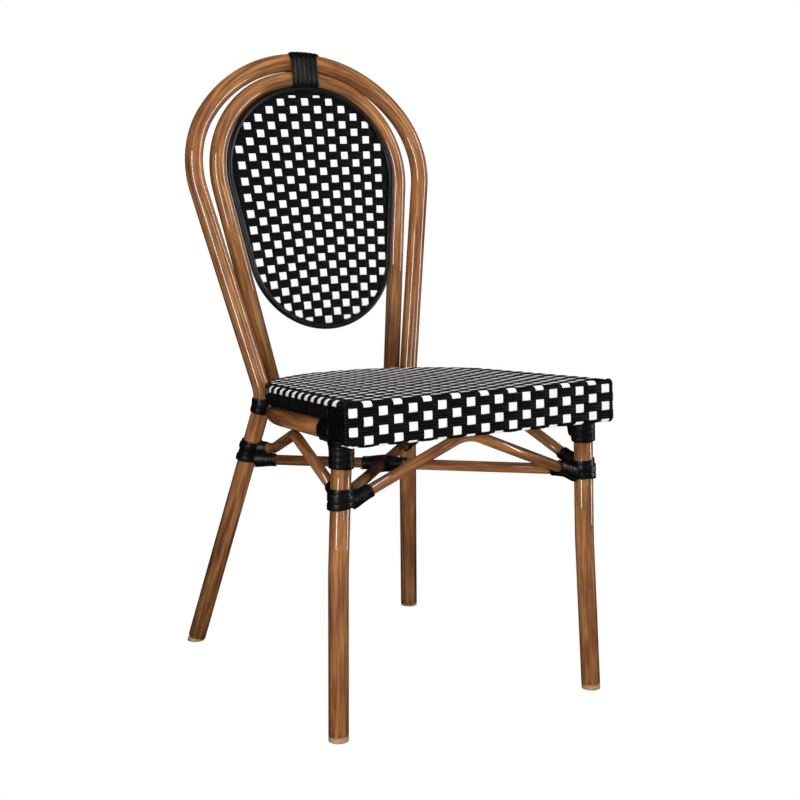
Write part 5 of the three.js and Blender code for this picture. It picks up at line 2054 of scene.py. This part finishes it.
@dataclass
class Feet:
    """Pale plastic caps pressed into the legs."""

    lines: TubeFrame
    edge: float = 0.0012
    bevel_share: float = 0.3
    groove_height: float = 0.0009
    groove_depth: float = 0.0014
    stem_radius: float = 0.0105
    stem_length: float = 0.020
    sides: int = 48

    def cap(self, foot: Array, towards: Array) -> Skin:
        """A round cap that lies flat on the floor, with its stem inside the leg.

        Args:
            foot: middle of its underside.
            towards: a point up the leg's axis.

        Returns:
            The cap.
        """
        axis = unit(towards - foot)
        lean = axis / axis[2]
        radius, height, edge = self.lines.leg_radius, self.lines.cap_height, self.edge
        bevel, neck = edge * self.bevel_share, radius - self.groove_depth
        groove, top = height - self.groove_height, height + self.lines.touch_gap
        profile = [
            (0.0, radius - edge), (bevel, radius - bevel), (edge, radius),
            (groove - edge, radius), (groove - bevel, radius - bevel), (groove, radius - edge),
            (groove, neck), (top, neck),
            (top, self.stem_radius), (height + self.stem_length, self.stem_radius),
        ]
        section = round_section(1.0, self.sides)
        ring = section[:, :1] * X_AXIS + section[:, 1:] * Y_AXIS
        rings = np.array([foot + lean * rise + ring * size for rise, size in profile])
        skin = Skin()
        skin.loft(rings, rings - foot)
        return skin

    def build(self) -> None:
        """Makes the four caps."""
        lines = self.lines
        places = {
            "front": (lines.front_foot_point, lines.bend),
            "rear": (lines.rear_foot_point, lines.knee),
        }
        for place, (foot, towards) in places.items():
            for side in Side:
                skin = self.cap(side.place(foot), side.place(towards))
                node = f"foot_cap_{place}_{side.word}"
                hand_over(skin.build(f"{node}_moulding"), FOOT, [node])


@dataclass
class HiddenBars:
    """Bars inside the seat, which keep their solids."""

    nodes: tuple[str, ...] = ("seat_frame", "front_rail", "apron_bar")

    def build(self) -> None:
        """Gives the bars their finish."""
        for node in self.nodes:
            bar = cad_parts[node]
            bar.data.materials.clear()
            bar.data.materials.append(METAL.material())
            LOG.info("%s: finished", node)


@dataclass(frozen=True)
class Softbox:
    """One area light, which faces a point above the middle of the floor."""

    name: str
    place: Triple
    size: Pair
    watts: float
    aim_height: float
    use: LightUse

    def build(self) -> None:
        """Makes the light."""
        light = bpy.data.lights.new(self.name, "AREA")
        light.shape = "RECTANGLE"
        light.size, light.size_y = self.size
        light.energy = self.watts
        lamp = in_scene(self.name, light)
        lamp.location = self.place
        way = self.aim_height * Z_AXIS - np.array(self.place)
        yaw = math.atan2(way[1], way[0]) - math.pi / 2
        pitch = math.atan2(way[2], math.hypot(way[0], way[1]))
        lamp.rotation_euler = (math.pi / 2 + pitch, 0.0, yaw)
        lamp.visible_glossy = self.use is LightUse.GLOSS
        lamp.visible_diffuse = self.use is LightUse.SHADE
        lamp.visible_camera = False


@dataclass
class Studio:
    """Camera, pale floor, backdrop and soft lights."""

    camera_place: Triple = (-1.1723, -2.0578, 0.7878)
    camera_yaw: float = 0.5292
    camera_pitch: float = 0.1555
    lens: float = 71.06
    sensor: float = 36.0
    radius: float = 40.0
    floor_sides: int = 96
    dome_rings: int = 24
    dome_sides: int = 64
    ambient: float = 0.07
    backdrop_light: float = 1.0
    floor_tone: float = 0.5
    floor_glow: float = 0.12
    softboxes: tuple[Softbox, ...] = (
        Softbox("key_strip", (-2.3, -1.35, 1.25), (0.36, 2.2), 40.0, 0.55, LightUse.GLOSS),
        Softbox("edge_strip", (2.2, -1.1, 0.9), (0.25, 2.2), 26.0, 0.5, LightUse.GLOSS),
        Softbox("weave_strip", (0.5, -3.0, 1.5), (0.5, 1.0), 7.0, 0.5, LightUse.GLOSS),
        Softbox("front_box", (-1.5, -3.0, 1.4), (1.6, 1.4), 44.0, 0.45, LightUse.SHADE),
        Softbox("low_box", (-1.4, -2.4, 0.25), (1.8, 0.4), 48.0, 0.1, LightUse.SHADE),
        Softbox("top_box", (0.0, -0.3, 2.9), (2.0, 2.0), 84.0, 0.4, LightUse.SHADE),
        Softbox("side_box", (2.4, -0.6, 1.2), (1.2, 1.2), 16.0, 0.5, LightUse.SHADE),
        Softbox("floor_box", (0.0, 0.0, 0.004), (4.0, 4.0), 9.0, 1.0, LightUse.SHADE),
        Softbox("back_box", (0.6, 2.8, 1.5), (1.8, 1.2), 40.0, 0.5, LightUse.SHADE),
    )

    def camera(self) -> None:
        """Sets the photograph's viewing angle."""
        data = bpy.data.cameras.new("camera")
        data.lens = self.lens
        data.sensor_width = self.sensor
        data.sensor_fit = "HORIZONTAL"
        camera = in_scene("camera", data)
        camera.location = self.camera_place
        camera.rotation_euler = (math.pi / 2 - self.camera_pitch, 0.0, -self.camera_yaw)
        bpy.context.scene.camera = camera

    @staticmethod
    def surround(
        name: str, points: Sequence[Triple], faces: Sequence[Sequence[int]],
        graph: NodeGraph, unseen_by: Sequence[str],
    ) -> None:
        """Makes a glowing piece of the studio.

        Args:
            name: name of the piece.
            points: its points.
            faces: its faces.
            graph: its material, without the parts that all such pieces share.
            unseen_by: kinds of ray that pass through it.
        """
        graph.set(Emission_Color=WHITE, Specular_IOR_Level=0.0)
        mesh = bpy.data.meshes.new(name)
        mesh.from_pydata(points, [], faces)
        mesh.materials.append(graph.material)
        piece = in_scene(name, mesh)
        for ray in unseen_by:
            setattr(piece, f"visible_{ray}", False)

    def floor(self) -> None:
        """Makes the pale floor, which lights the chair from below, and which the camera misses."""
        graph = NodeGraph("pale_floor")
        base = (self.floor_tone, self.floor_tone, self.floor_tone, 1.0)
        graph.set(Base_Color=base, Roughness=0.9, Emission_Strength=self.floor_glow)
        angles = np.linspace(0, 2 * math.pi, self.floor_sides, endpoint=False)
        points = [(self.radius * math.cos(a), self.radius * math.sin(a), 0.0) for a in angles]
        faces = [list(range(self.floor_sides))]
        self.surround("floor", points, faces, graph, ("camera", "glossy"))

    def backdrop(self) -> None:
        """Makes a bright dome that only the camera sees, so that it lights nothing."""
        graph = NodeGraph("backdrop_light")
        graph.set(Base_Color=(0.0, 0.0, 0.0, 1.0), Emission_Strength=self.backdrop_light)
        rings, sides = self.dome_rings, self.dome_sides
        points, faces = [], []
        for i in range(rings + 1):
            polar = math.pi * i / rings
            width, height = self.radius * math.sin(polar), self.radius * math.cos(polar)
            for j in range(sides):
                turn = 2 * math.pi * j / sides
                points.append((width * math.cos(turn), width * math.sin(turn), height))
        for i, j in itertools.product(range(rings), range(sides)):
            a, b = i * sides + j, i * sides + (j + 1) % sides
            faces.append([a, b, b + sides, a + sides])
        unseen_by = ("diffuse", "glossy", "transmission", "shadow")
        self.surround("backdrop", points, faces, graph, unseen_by)

    def world(self) -> None:
        """Sets the soft light from all sides."""
        world = bpy.data.worlds.new("studio")
        world.use_nodes = True
        background = world.node_tree.nodes["Background"]
        background.inputs["Color"].default_value = WHITE
        background.inputs["Strength"].default_value = self.ambient
        world.cycles_visibility.glossy = False
        bpy.context.scene.world = world
        bpy.context.scene.view_settings.view_transform = "Standard"

    def build(self) -> None:
        """Sets up the studio."""
        self.camera()
        self.world()
        self.floor()
        self.backdrop()
        for softbox in self.softboxes:
            softbox.build()


def corners(bounds: tuple) -> list[list[float]]:
    """A box's two corners as plain lists."""
    return [[float(value) for value in corner] for corner in bounds]


def main() -> None:
    """Builds the studio and the chair's sub-assemblies."""
    logging.basicConfig(level=logging.INFO, format="%(message)s")
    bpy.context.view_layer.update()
    Studio().build()
    lines = TubeFrame()
    braces = Braces(lines)
    for assembly in (
        lines, braces, WovenSeat(lines), WovenPanel(lines), Bindings(lines, braces), Feet(lines),
        HiddenBars(),
    ):
        assembly.build()


if __name__ == "__main__":
    main()
